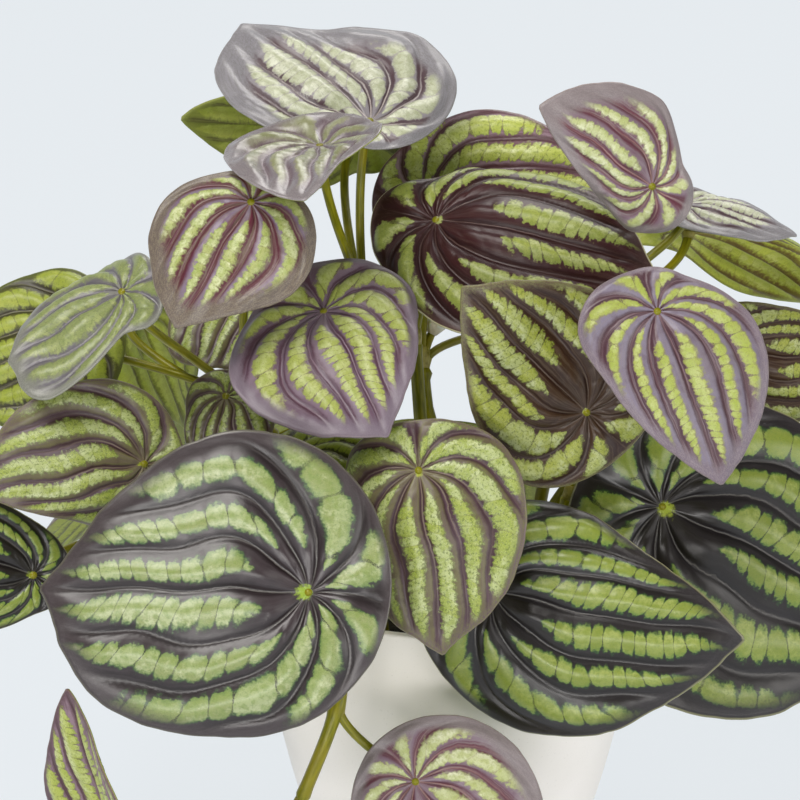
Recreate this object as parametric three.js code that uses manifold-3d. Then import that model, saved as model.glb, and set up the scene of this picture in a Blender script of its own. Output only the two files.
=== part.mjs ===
// A potted peperomia made as a decorative plant: printed leaf blades pegged on moulded stems, in a pot with
// a dark fill. Millimetres, +Z up. The origin is the middle of the pot's underside, and -Y is the front.
import * as THREE from "three";
import { mergeVertices } from "three/addons/utils/BufferGeometryUtils.js";
import Module from "manifold-3d";

// Driving dimensions
const POT_HEIGHT = 120;
const RIM_RADIUS = 66;
const BASE_RADIUS = 41;
const POT_CURVE = 1.83; // how the wall's slope fades towards the rim
const WALL = 3.6;
const FLOOR = 4.5;
const POT_SIDES = 40;
const FILL_BELOW_RIM = 14;
const FILL_MOUND = 6;
const GAP = 0.3; // between pieces that rest on or stand in each other
const BLADE = 0.8; // thickness of a leaf blade
const STEM_RADIUS = 2.3;
const PETIOLE_RADIUS = 1.5;
const COLLAR = { low: 1.9, high: 2.6, height: 2.4 };
const STEM_SIDES = 6;
const PETIOLE_SIDES = 5;
const PETIOLE_STEPS = 4;
const PETIOLE_PULL = 0.3; // share of its span over which a petiole keeps the way that it starts and ends
const LIP = 0.8; // rounding of the pot's rim

// The outline of a blade with a reach of 1 from its hub, where the petiole meets it, to its tip
const OUTLINE = { middle: 0.29, half: 0.61, tip: 0.1, tipWidth: 0.3, side: 0.56, skew: 0.12 };
const SIDES_OF_BLADE = 16;
const BIG_RINGS = [0.2, 0.5, 0.78, 1];
const SMALL_RINGS = [0.25, 0.62, 1];
const BIG_REACH = 56;
const USUAL = { droop: 20, roll: [20, 20], fold: 0, wide: 1 };
const EDGE_POINTS = 8;

// Where the petiole joins, the blade is drawn in: how deep and how far out, in units of the reach
const HOLLOW = { depth: 0.03, radius: 0.11 };
const FOLD_ROUND = 0.04; // half width of the round bottom of a folded blade's V

const radians = THREE.MathUtils.degToRad;

const POT_LOOK = { color: 0xd9d6d0, roughness: 0.6 };
const FILL_LOOK = { color: 0x14110f, roughness: 0.95 };
const STEM_LOOK = { color: 0x6b7a0a, roughness: 0.45 };

// Leaf looks, by the colour that each kind has from a step away
const LOOKS = {
  dark: { color: 0x4f6350, roughness: 0.4 },
  mid: { color: 0x7c8a4c, roughness: 0.45 },
  mauve: { color: 0x84727f, roughness: 0.42 },
  silver: { color: 0xa9ada6, roughness: 0.35 },
  maroon: { color: 0x5b4a45, roughness: 0.42 },
  olive: { color: 0x8f9a2a, roughness: 0.5 },
};

// Leaves by name. hub and tip are points on the upper face, and face is the way that it looks. In degrees,
// droop bends the blade back from hub to tip, base does it for the part behind the hub where that differs,
// and roll bends its two halves back from the midrib, below nought upwards. fold lifts both halves as a V by
// that slope, and wide is the width as a share of the usual one. edge draws the margin in or out by a share
// at each of eight points round it, from the tip on. What a row leaves out is as in USUAL.
const LEAVES = {
  front_left: {
    look: "dark", hub: [-46, -112, 156], tip: [-132, -104, 154], face: [1, -9, 4], roll: [25, 0],
    wide: 1.04, edge: [1, 1.09, 0.96, 0.88, 0.94, 0.98, 1, 0.96],
  },
  front_centre: {
    look: "mid", hub: [-11, -80, 185], tip: [-3, -98, 128], face: [0, -9, 3], droop: 25,
    roll: [10, 70], edge: [1, 1, 0.97, 0.96, 0.82, 1, 1, 0.97],
  },
  front_right: {
    look: "dark", hub: [13, -68, 138], tip: [96, -78, 125], face: [0, -9, 2], droop: 15,
    roll: [80, 25], edge: [1, 0.77, 0.78, 0.85, 0.9, 0.9, 1, 0.98],
  },
  right_large: {
    look: "dark", hub: [71, -36, 155], tip: [149, -22, 108], face: [1, -9, 4], droop: 25,
    roll: [20, 0], wide: 1.1, edge: [1, 1, 0.85, 0.76, 1, 1, 1.05, 1.1],
  },
  right_upper: {
    look: "mauve", hub: [65, -74, 237], tip: [86, -88, 183], face: [1, -9, 4], droop: 30, base: 80,
    wide: 0.94, edge: [1, 1, 0.92, 0.64, 0.78, 0.97, 0.77, 0.82],
  },
  right_inner: {
    look: "mid", hub: [44, -56, 196], tip: [3, -58, 240], face: [-1, -9, 2], droop: 10, roll: [10, 20],
    wide: 1.05, edge: [1, 0.86, 0.88, 1.05, 1, 1, 0.95, 0.95],
  },
  centre_maroon: {
    look: "maroon", hub: [-5, -8, 247], tip: [67, -26, 236], face: [0, -7, 7], droop: 30,
    roll: [70, 20], wide: 0.96, edge: [1, 1, 1.05, 0.63, 0.92, 0.8, 0.97, 1],
  },
  centre_back: {
    look: "mauve", hub: [-7, 28, 244], tip: [56, 25, 245], face: [0, -9, 4], roll: [30, 20],
    wide: 0.94, edge: [1, 1, 0.98, 0.78, 0.97, 1, 1, 1],
  },
  top_right: {
    look: "mauve", hub: [65, -36, 267], tip: [28, -32, 293], face: [-1, -8, 4], roll: [90, 30],
    edge: [1, 0.66, 0.66, 0.9, 1.03, 0.64, 1.01, 1.06],
  },
  silver_right: {
    look: "silver", hub: [81, 20, 244], tip: [118, 14, 234], face: [0, -1, 9], droop: 30, wide: 0.85,
    edge: [1, 0.85, 0.8, 1, 1, 1, 1, 1],
  },
  under_right: {
    look: "olive", hub: [84, 48, 226], tip: [138, 66, 192], face: [3, 6, 7],
    edge: [1, 1, 0.6, 0.9, 1, 1, 1, 1],
  },
  far_right: {
    look: "mid", hub: [98, 10, 193], tip: [144, 14, 190], face: [2, -9, 3],
    edge: [1, 0.82, 0.7, 0.8, 1, 1, 1, 1],
  },
  top_silver: {
    look: "silver", hub: [-27, 0, 279], tip: [-71, 38, 302], face: [0, -3, 9], roll: [20, 0],
    wide: 1.1, edge: [1, 1.05, 0.72, 0.5, 0.7, 1.05, 1.05, 0.86],
  },
  small_silver: {
    look: "silver", hub: [-43, -36, 281], tip: [-47, -76, 275], face: [-1, -3, 9], droop: 15,
    base: -40, roll: [-40, 0], edge: [1, 0.7, 1, 1, 1.5, 1.5, 1.25, 1.1],
  },
  under_left: {
    look: "olive", hub: [-34, 62, 254], tip: [-94, 64, 262], face: [-1, 8, 4], roll: [25, 60],
    wide: 1.1, edge: [1, 0.75, 0.9, 0.9, 0.9, 0.45, 0.6, 0.78],
  },
  upper_left: {
    look: "mauve", hub: [-65, -50, 266], tip: [-89, -68, 229], face: [-1, -8, 5], droop: 25, base: 90,
    wide: 0.96, edge: [1, 0.96, 1.1, 0.97, 0.62, 0.66, 1.02, 1.03],
  },
  left_silver: {
    look: "silver", hub: [-108, -42, 233], tip: [-145, -54, 213], face: [-2, -6, 7], droop: 10,
    roll: [10, 70], edge: [1, 1.25, 0.62, 0.85, 0.95, 1.1, 0.95, 0.95],
  },
  left_back: {
    look: "olive", hub: [-128, 0, 202], tip: [-174, 0, 185], face: [-2, -8, 5],
    edge: [1, 1, 1, 1, 1.1, 1.15, 1.02, 1],
  },
  left_mid: {
    look: "mid", hub: [-101, -56, 178], tip: [-155, -66, 172], face: [0, -9, 4], roll: [90, 0],
    edge: [1, 0.72, 0.8, 1, 0.78, 0.88, 0.97, 1.05],
  },
  upper_centre: {
    look: "mauve", hub: [-42, -44, 227], tip: [-21, -84, 198], face: [0, -8, 6], droop: 30, base: -20,
    roll: [35, 0], wide: 1.06, edge: [1, 0.88, 0.9, 1.22, 1.15, 1, 1.18, 1.09],
  },
  left_deep: {
    look: "mid", hub: [-72, 16, 213], tip: [-84, -4, 192], face: [-2, -7, 5],
    edge: [1, 1.1, 1, 1, 1, 1, 1.2, 1.25],
  },
  left_under: {
    look: "olive", hub: [-108, 36, 198], tip: [-92, 26, 160], face: [4, 7, 3], droop: 10,
    edge: [1, 0.95, 1.05, 1, 0.9, 1.05, 1, 0.95],
  },
  left_inner: {
    look: "mid", hub: [-75, -32, 193], tip: [-80, -50, 167], face: [-2, -8, 5],
    edge: [1, 1, 1, 1, 1, 0.85, 0.72, 0.85],
  },
  low_inner: {
    look: "olive", hub: [-51, -48, 177], tip: [-18, -62, 171], face: [1, -5, 8],
    edge: [1, 1.05, 0.92, 1, 1, 0.95, 1, 1.04],
  },
  bottom_left: {
    look: "mauve", hub: [-107, -85, 52], tip: [-126, -90, 113], face: [-7, -5, 1], droop: 10,
    roll: [0, 0], fold: 0.3, wide: 0.85, edge: [1, 0.85, 0.9, 1, 1, 1, 1, 1],
  },
  bottom_centre: {
    look: "mauve", hub: [-12, -100, 84], tip: [23, -108, 39], face: [0, -9, 3],
    edge: [1, 1.04, 1.03, 1, 0.97, 0.86, 1, 1],
  },
  far_left: {
    look: "dark", hub: [-138, -62, 141], tip: [-188, -66, 165], face: [-1, -9, 4],
    edge: [1, 0.9, 0.8, 0.55, 0.7, 0.55, 0.55, 0.8],
  },
  back_low_left: {
    look: "dark", hub: [-58, 92, 152], tip: [-94, 130, 98], face: [-4, 8, 5], droop: 25,
    roll: [20, 25], edge: [1, 0.94, 1, 1.04, 0.93, 1, 0.95, 1.05],
  },
  back_low_middle: {
    look: "dark", hub: [-6, 98, 122], tip: [-8, 126, 54], face: [0, 9, 4], roll: [25, 20],
    edge: [1, 1.04, 0.95, 1, 0.92, 0.98, 1.04, 0.96],
  },
  back_low_right: {
    look: "mid", hub: [54, 90, 142], tip: [78, 124, 90], face: [3, 9, 4], droop: 25,
    edge: [1, 0.96, 1.03, 0.94, 1, 0.93, 1, 1.05],
  },
  back_mid_left: {
    look: "mid", hub: [-84, 74, 188], tip: [-128, 98, 158], face: [-4, 5, 7], roll: [20, 25],
    edge: [1, 1.03, 0.94, 1, 0.9, 1.04, 0.97, 1],
  },
  back_mid: {
    look: "mauve", hub: [-28, 84, 198], tip: [-40, 130, 166], face: [-1, 7, 7], droop: 25,
    edge: [1, 0.95, 1.04, 0.97, 0.92, 1, 0.94, 1.03],
  },
  back_mid_right: {
    look: "mid", hub: [34, 84, 192], tip: [52, 128, 158], face: [2, 7, 7], roll: [25, 20],
    edge: [1, 1.04, 0.98, 0.93, 1, 0.96, 1.04, 0.95],
  },
  back_right: {
    look: "dark", hub: [106, 44, 160], tip: [150, 66, 124], face: [6, 3, 6], droop: 25,
    edge: [1, 0.95, 1.02, 1, 0.9, 0.97, 1.04, 0.97],
  },
  back_left: {
    look: "mauve", hub: [-108, 52, 134], tip: [-146, 74, 92], face: [-6, 5, 5], roll: [20, 25],
    edge: [1, 1.04, 0.94, 1, 0.93, 1.03, 0.96, 1],
  },
  back_top: {
    look: "silver", hub: [16, 62, 234], tip: [28, 108, 222], face: [0, 4, 9], droop: 25,
    edge: [1, 0.94, 1, 0.95, 0.9, 1.03, 0.96, 1.04],
  },
};

// Leafy stems by name: the middle line of each from its foot in the fill, then its leaves with the share of
// the stem at which the petiole leaves it.
const STEMS = {
  front_low: {
    path: [[-22, -34, 80], [-24, -40, 118], [-32, -66, 129], [-38, -88, 104], [-50, -92, 72]],
    leaves: { bottom_centre: 0.74, bottom_left: 1, front_left: 0.5 },
  },
  front: {
    path: [[-6, -28, 80], [-8, -30, 120], [-14, -34, 160]],
    leaves: { front_centre: 1, front_right: 0.6, low_inner: 0.9, upper_centre: 1 },
  },
  left: {
    path: [[-36, -14, 80], [-46, -18, 118], [-68, -26, 150]],
    leaves: { left_mid: 1, far_left: 0.9, left_inner: 0.8 },
  },
  left_high: {
    path: [[-30, 10, 80], [-40, 8, 128], [-68, 0, 176]],
    leaves: { left_silver: 1, left_back: 1, left_under: 0.9, upper_left: 0.9 },
  },
  top_left: {
    path: [[-14, 2, 80], [-18, 0, 150], [-28, -4, 210]],
    leaves: { small_silver: 1, top_silver: 1, under_left: 0.9, left_deep: 0.6 },
  },
  centre: {
    path: [[0, -6, 80], [-8, -8, 150], [-12, -8, 205]],
    leaves: { centre_maroon: 1 },
  },
  top_right: {
    path: [[26, 8, 80], [34, 10, 150], [56, 12, 215]],
    leaves: { top_right: 1, silver_right: 1, under_right: 0.9, right_upper: 1, far_right: 0.6 },
  },
  right: {
    path: [[24, -18, 80], [30, -24, 120], [40, -32, 158]],
    leaves: { right_inner: 1, right_large: 0.7 },
  },
  back_left: {
    path: [[-20, 26, 80], [-26, 34, 124], [-44, 50, 158]],
    leaves: { back_low_left: 1, back_mid_left: 1, back_left: 0.9 },
  },
  back: {
    path: [[0, 30, 80], [-4, 38, 130], [-9, 50, 174]],
    leaves: { back_low_middle: 0.8, back_mid: 1, back_mid_right: 1, back_top: 1, centre_back: 1 },
  },
  back_right: {
    path: [[26, 28, 80], [34, 34, 120], [54, 46, 146]],
    leaves: { back_low_right: 1, back_right: 1 },
  },
};

const wasm = await Module();
wasm.setup();

// A closed geometry as a solid that can be joined and cut.
function solidOf(geometry) {
  const bare = geometry.clone();
  bare.deleteAttribute("normal");
  bare.deleteAttribute("uv");
  const merged = mergeVertices(bare, 1e-4);
  const vertProperties = merged.attributes.position.array;
  const triVerts = new Uint32Array(merged.index.array);
  return new wasm.Manifold(new wasm.Mesh({ numProp: 3, vertProperties, triVerts }));
}

function geometryOf(solid) {
  const mesh = solid.getMesh();
  const geometry = new THREE.BufferGeometry();
  geometry.setAttribute("position", new THREE.BufferAttribute(new Float32Array(mesh.vertProperties), 3));
  geometry.setIndex(new THREE.BufferAttribute(new Uint32Array(mesh.triVerts), 1));
  geometry.computeVertexNormals();
  return geometry;
}

function meshOf(name, geometry, look) {
  const mesh = new THREE.Mesh(geometry, new THREE.MeshStandardMaterial({ metalness: 0, ...look }));
  mesh.name = name;
  return mesh;
}

// Pot and fill

// Outer radius of the pot at a height: steep at the base and nearly upright at the rim.
function potRadius(height) {
  return RIM_RADIUS - (RIM_RADIUS - BASE_RADIUS) * (1 - height / POT_HEIGHT) ** POT_CURVE;
}

function wallPoints(low, high, inset, steps) {
  return Array.from({ length: steps + 1 }, (_, i) => {
    const z = low + ((high - low) * i) / steps;
    return new THREE.Vector2(potRadius(z) - inset, z);
  });
}

function turned(profile) {
  return new THREE.LatheGeometry(profile, POT_SIDES).rotateX(Math.PI / 2);
}

function potGeometry() {
  const outside = wallPoints(0, POT_HEIGHT - LIP, 0, 7);
  const inside = wallPoints(FLOOR, POT_HEIGHT - LIP, WALL, 5).reverse();
  const rim = [
    new THREE.Vector2(RIM_RADIUS - LIP, POT_HEIGHT),
    new THREE.Vector2(RIM_RADIUS - WALL + LIP, POT_HEIGHT),
  ];
  return turned([new THREE.Vector2(0, 0), ...outside, ...rim, ...inside, new THREE.Vector2(0, FLOOR)]);
}

function fillHeight(share) {
  return POT_HEIGHT - FILL_BELOW_RIM + FILL_MOUND * (1 - share * share);
}

// The dark fill, lightly mounded, with a plain hole for each stem.
function fillGeometry() {
  const top = POT_HEIGHT - FILL_BELOW_RIM;
  const side = wallPoints(FLOOR + GAP, top, WALL + GAP, 5);
  const mound = [0.75, 0.4, 0].map((s) => new THREE.Vector2(s * side.at(-1).x, fillHeight(s)));
  let fill = solidOf(turned([new THREE.Vector2(0, FLOOR + GAP), ...side, ...mound]));
  for (const stem of Object.values(STEMS)) {
    const curve = stemCurve(stem);
    const foot = curve.getPoint(0);
    const below = foot.clone().addScaledVector(curve.getTangent(0), -GAP);
    const hole = solidOf(rod(curve, STEM_RADIUS + GAP, STEM_SIDES, stemSteps(stem)));
    const bottom = solidOf(rod(new THREE.LineCurve3(below, foot), STEM_RADIUS + GAP, STEM_SIDES, 1));
    fill = fill.subtract(hole.add(bottom));
  }
  return geometryOf(fill);
}

// Leaf blades

function leafOf(name) {
  return { ...USUAL, ...LEAVES[name] };
}

// By how much the margin is drawn in or out at angle a: a smooth closed curve through the edge values.
function edgeShare(leaf, a) {
  const place = ((a / (2 * Math.PI) + 1) % 1) * EDGE_POINTS;
  const i = Math.floor(place);
  const w = place - i;
  const [before, here, next, after] = [-1, 0, 1, 2].map((k) => leaf.edge.at((i + k) % EDGE_POINTS));
  const slope = (next - before) / 2;
  const nextSlope = (after - here) / 2;
  const rise = next - here;
  const square = 3 * rise - 2 * slope - nextSlope;
  const cube = slope + nextSlope - 2 * rise;
  return here + w * (slope + w * (square + w * cube));
}

// A point of the flat outline at angle a round the blade, 0 at the tip.
function outlinePoint(leaf, a) {
  const point = OUTLINE.tip * Math.exp(-((a / OUTLINE.tipWidth) ** 2));
  const x = OUTLINE.middle + OUTLINE.half * Math.cos(a) + point;
  const y = OUTLINE.side * leaf.wide * Math.sin(a) * (1 - OUTLINE.skew * Math.cos(a));
  return new THREE.Vector2(x, y).multiplyScalar(edgeShare(leaf, a));
}

// The upper face of a blade at share u of the way from hub to margin at angle a, in units of the reach.
function bladePoint(leaf, u, a) {
  const flat = outlinePoint(leaf, a).multiplyScalar(u);
  const roll = radians(flat.y > 0 ? leaf.roll[0] : leaf.roll[1]) / OUTLINE.side;
  const droop = radians(flat.x < 0 ? (leaf.base ?? leaf.droop) : leaf.droop);
  const hollow = HOLLOW.depth * (1 - Math.exp(-flat.lengthSq() / HOLLOW.radius ** 2));
  const lift = leaf.fold * (Math.hypot(flat.y, FOLD_ROUND) - FOLD_ROUND);
  const side = flat.y * roll;
  const y = roll ? Math.sin(side) / roll : flat.y;
  const z = hollow + lift - (roll ? (1 - Math.cos(side)) / roll : 0);
  const bend = flat.x * droop;
  const x = droop ? Math.sin(bend) / droop : flat.x;
  const sag = droop ? (1 - Math.cos(bend)) / droop : 0;
  return new THREE.Vector3(x + z * Math.sin(bend), y, z * Math.cos(bend) - sag);
}

// The turn that takes the blade's own axes to its place: tip towards tip, upper face towards face.
function bladeTurn(leaf) {
  const frame = (along, up) => {
    const x = along.clone().normalize();
    const z = up.clone().addScaledVector(x, -up.dot(x)).normalize();
    return new THREE.Matrix4().makeBasis(x, z.clone().cross(x), z);
  };
  const own = frame(bladePoint(leaf, 1, 0), new THREE.Vector3(0, 0, 1));
  const hub = new THREE.Vector3(...leaf.hub);
  const placed = frame(new THREE.Vector3(...leaf.tip).sub(hub), new THREE.Vector3(...leaf.face));
  return new THREE.Quaternion().setFromRotationMatrix(placed.multiply(own.transpose()));
}

function bladeReach(leaf) {
  const span = new THREE.Vector3(...leaf.tip).distanceTo(new THREE.Vector3(...leaf.hub));
  return span / bladePoint(leaf, 1, 0).length();
}

function bladeGeometry(leaf) {
  const reach = bladeReach(leaf);
  const rings = reach > BIG_REACH ? BIG_RINGS : SMALL_RINGS;
  const step = 1e-3;
  const top = [new THREE.Vector3()];
  const normals = [new THREE.Vector3(0, 0, 1)];
  for (const u of rings) {
    for (let i = 0; i < SIDES_OF_BLADE; i++) {
      const a = (i / SIDES_OF_BLADE) * 2 * Math.PI - (i > SIDES_OF_BLADE / 2 ? 2 * Math.PI : 0);
      const point = bladePoint(leaf, u, a);
      const out = bladePoint(leaf, u - step, a).sub(point).negate();
      const round = bladePoint(leaf, u, a + step).sub(point);
      top.push(point);
      normals.push(out.cross(round).normalize());
    }
  }
  const count = top.length;
  const positions = [
    ...top.flatMap((p) => p.clone().multiplyScalar(reach).toArray()),
    ...top.flatMap((p, i) => p.clone().multiplyScalar(reach).addScaledVector(normals[i], -BLADE).toArray()),
  ];
  const faces = [];
  const both = (a, b, c) => faces.push(a, b, c, a + count, c + count, b + count);
  const ringStart = (r) => 1 + r * SIDES_OF_BLADE;
  for (let i = 0; i < SIDES_OF_BLADE; i++) {
    const next = (i + 1) % SIDES_OF_BLADE;
    both(0, ringStart(0) + i, ringStart(0) + next);
    for (let r = 1; r < rings.length; r++) {
      const [inner, outer] = [ringStart(r - 1), ringStart(r)];
      both(inner + i, outer + i, outer + next);
      both(inner + i, outer + next, inner + next);
    }
    const [here, there] = [ringStart(rings.length - 1) + i, ringStart(rings.length - 1) + next];
    faces.push(here, here + count, there, there, here + count, there + count);
  }
  const geometry = new THREE.BufferGeometry();
  geometry.setAttribute("position", new THREE.Float32BufferAttribute(positions, 3));
  geometry.setIndex(faces);
  geometry.computeVertexNormals();
  return geometry;
}

function leafMesh(name) {
  const leaf = leafOf(name);
  const mesh = meshOf("leaf_" + name, bladeGeometry(leaf), LOOKS[leaf.look]);
  mesh.position.set(...leaf.hub);
  mesh.quaternion.copy(bladeTurn(leaf));
  return mesh;
}

// Stems, petioles and the collars that hold the blades

function rod(curve, radius, sides, steps) {
  const corners = Array.from({ length: sides }, (_, i) => {
    const a = (i / sides) * 2 * Math.PI;
    return new THREE.Vector2(radius * Math.cos(a), radius * Math.sin(a));
  });
  const options = { steps, extrudePath: curve, bevelEnabled: false };
  return new THREE.ExtrudeGeometry(new THREE.Shape(corners), options);
}

function stemCurve(stem) {
  return new THREE.CatmullRomCurve3(stem.path.map((p) => new THREE.Vector3(...p)));
}

function stemSteps(stem) {
  return 1 + 2 * (stem.path.length - 1);
}

// The peg under a blade's hub: where it ends and the way that it points.
function pegOf(leaf) {
  const up = new THREE.Vector3(0, 0, 1).applyQuaternion(bladeTurn(leaf));
  const end = new THREE.Vector3(...leaf.hub).addScaledVector(up, -BLADE - GAP);
  return { end, up };
}

function petioleCurve(from, along, leaf) {
  const { end, up } = pegOf(leaf);
  const under = end.clone().addScaledVector(up, -COLLAR.height / 2);
  const span = from.distanceTo(under);
  const leave = from.clone().addScaledVector(along, span * PETIOLE_PULL);
  const arrive = under.clone().addScaledVector(up, -span * PETIOLE_PULL);
  return new THREE.CubicBezierCurve3(from, leave, arrive, under);
}

function collarGeometry(leaf) {
  const { end, up } = pegOf(leaf);
  const turn = new THREE.Quaternion().setFromUnitVectors(new THREE.Vector3(0, 1, 0), up);
  const middle = end.addScaledVector(up, -COLLAR.height / 2);
  return new THREE.CylinderGeometry(COLLAR.high, COLLAR.low, COLLAR.height, PETIOLE_SIDES)
    .applyQuaternion(turn)
    .translate(middle.x, middle.y, middle.z);
}

function stemGeometry(stem) {
  const curve = stemCurve(stem);
  let solid = solidOf(rod(curve, STEM_RADIUS, STEM_SIDES, stemSteps(stem)));
  for (const [name, share] of Object.entries(stem.leaves)) {
    const leaf = leafOf(name);
    const along = curve.getTangent(share);
    const petiole = petioleCurve(curve.getPoint(share).addScaledVector(along, -STEM_RADIUS), along, leaf);
    const shaft = solidOf(rod(petiole, PETIOLE_RADIUS, PETIOLE_SIDES, PETIOLE_STEPS));
    solid = solid.add(shaft).add(solidOf(collarGeometry(leaf)));
  }
  return geometryOf(solid);
}

// The whole plant

const plant = new THREE.Group();

plant.add(meshOf("pot", potGeometry(), POT_LOOK));
plant.add(meshOf("fill", fillGeometry(), FILL_LOOK));

for (const [name, stem] of Object.entries(STEMS)) {
  plant.add(meshOf("stem_" + name, stemGeometry(stem), STEM_LOOK));
}

for (const name of Object.keys(LEAVES)) {
  plant.add(leafMesh(name));
}

export default plant;
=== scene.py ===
"""The looks of a potted peperomia: printed leaf blades pegged on moulded stems, in a pot with a dark fill.

Each blade, stem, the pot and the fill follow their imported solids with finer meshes. Veins, bands, cells, a
waved margin and peg heads are added here. Lengths are in millimetres until a mesh is made of them.
"""

import math

import bpy
import numpy as np
from mathutils import Matrix


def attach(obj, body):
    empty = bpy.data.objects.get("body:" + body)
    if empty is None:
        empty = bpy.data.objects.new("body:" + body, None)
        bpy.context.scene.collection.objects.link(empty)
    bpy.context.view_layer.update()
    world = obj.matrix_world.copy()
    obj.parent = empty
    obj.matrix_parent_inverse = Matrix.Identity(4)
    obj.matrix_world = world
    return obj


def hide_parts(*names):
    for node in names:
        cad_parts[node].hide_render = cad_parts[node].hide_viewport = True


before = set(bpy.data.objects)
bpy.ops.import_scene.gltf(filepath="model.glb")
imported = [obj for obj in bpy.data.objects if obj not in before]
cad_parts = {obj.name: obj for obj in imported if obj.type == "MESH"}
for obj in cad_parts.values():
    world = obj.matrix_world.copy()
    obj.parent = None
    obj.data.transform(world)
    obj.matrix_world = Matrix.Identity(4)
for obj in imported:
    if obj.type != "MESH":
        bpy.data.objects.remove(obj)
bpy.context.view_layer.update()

MM = 0.001
TAU = 2 * math.pi

# Sizes shared with the solids

POT_HEIGHT = 120
RIM_RADIUS = 66
BASE_RADIUS = 41
POT_CURVE = 1.83
WALL = 3.6
FLOOR = 4.5
FILL_BELOW_RIM = 14
FILL_MOUND = 6
GAP = 0.3
BLADE = 0.8
STEM_RADIUS = 2.3
PETIOLE_RADIUS = 1.5
COLLAR_HEIGHT = 2.4
PETIOLE_PULL = 0.3

# The outline of a blade with a reach of 1 from its hub, where the petiole meets it, to its tip
MIDDLE, HALF, TIP, TIP_WIDTH, TIP_POWER, SIDE, SKEW = 0.29, 0.61, 0.1, 0.2, 1.1, 0.56, 0.12
EDGE_POINTS = 8
HOLLOW_DEPTH, HOLLOW_RADIUS = 0.03, 0.11
FOLD_ROUND = 0.04
USUAL_LEAF = {
    "droop": 20, "base": None, "roll": (20, 20), "fold": 0, "wide": 1, "detail": "usual", "back": "under",
}

# Rings and sides of a blade's mesh by how near it is to the viewer
DETAIL = {"close": (48, 216), "usual": (34, 150), "far": (24, 110)}

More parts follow.
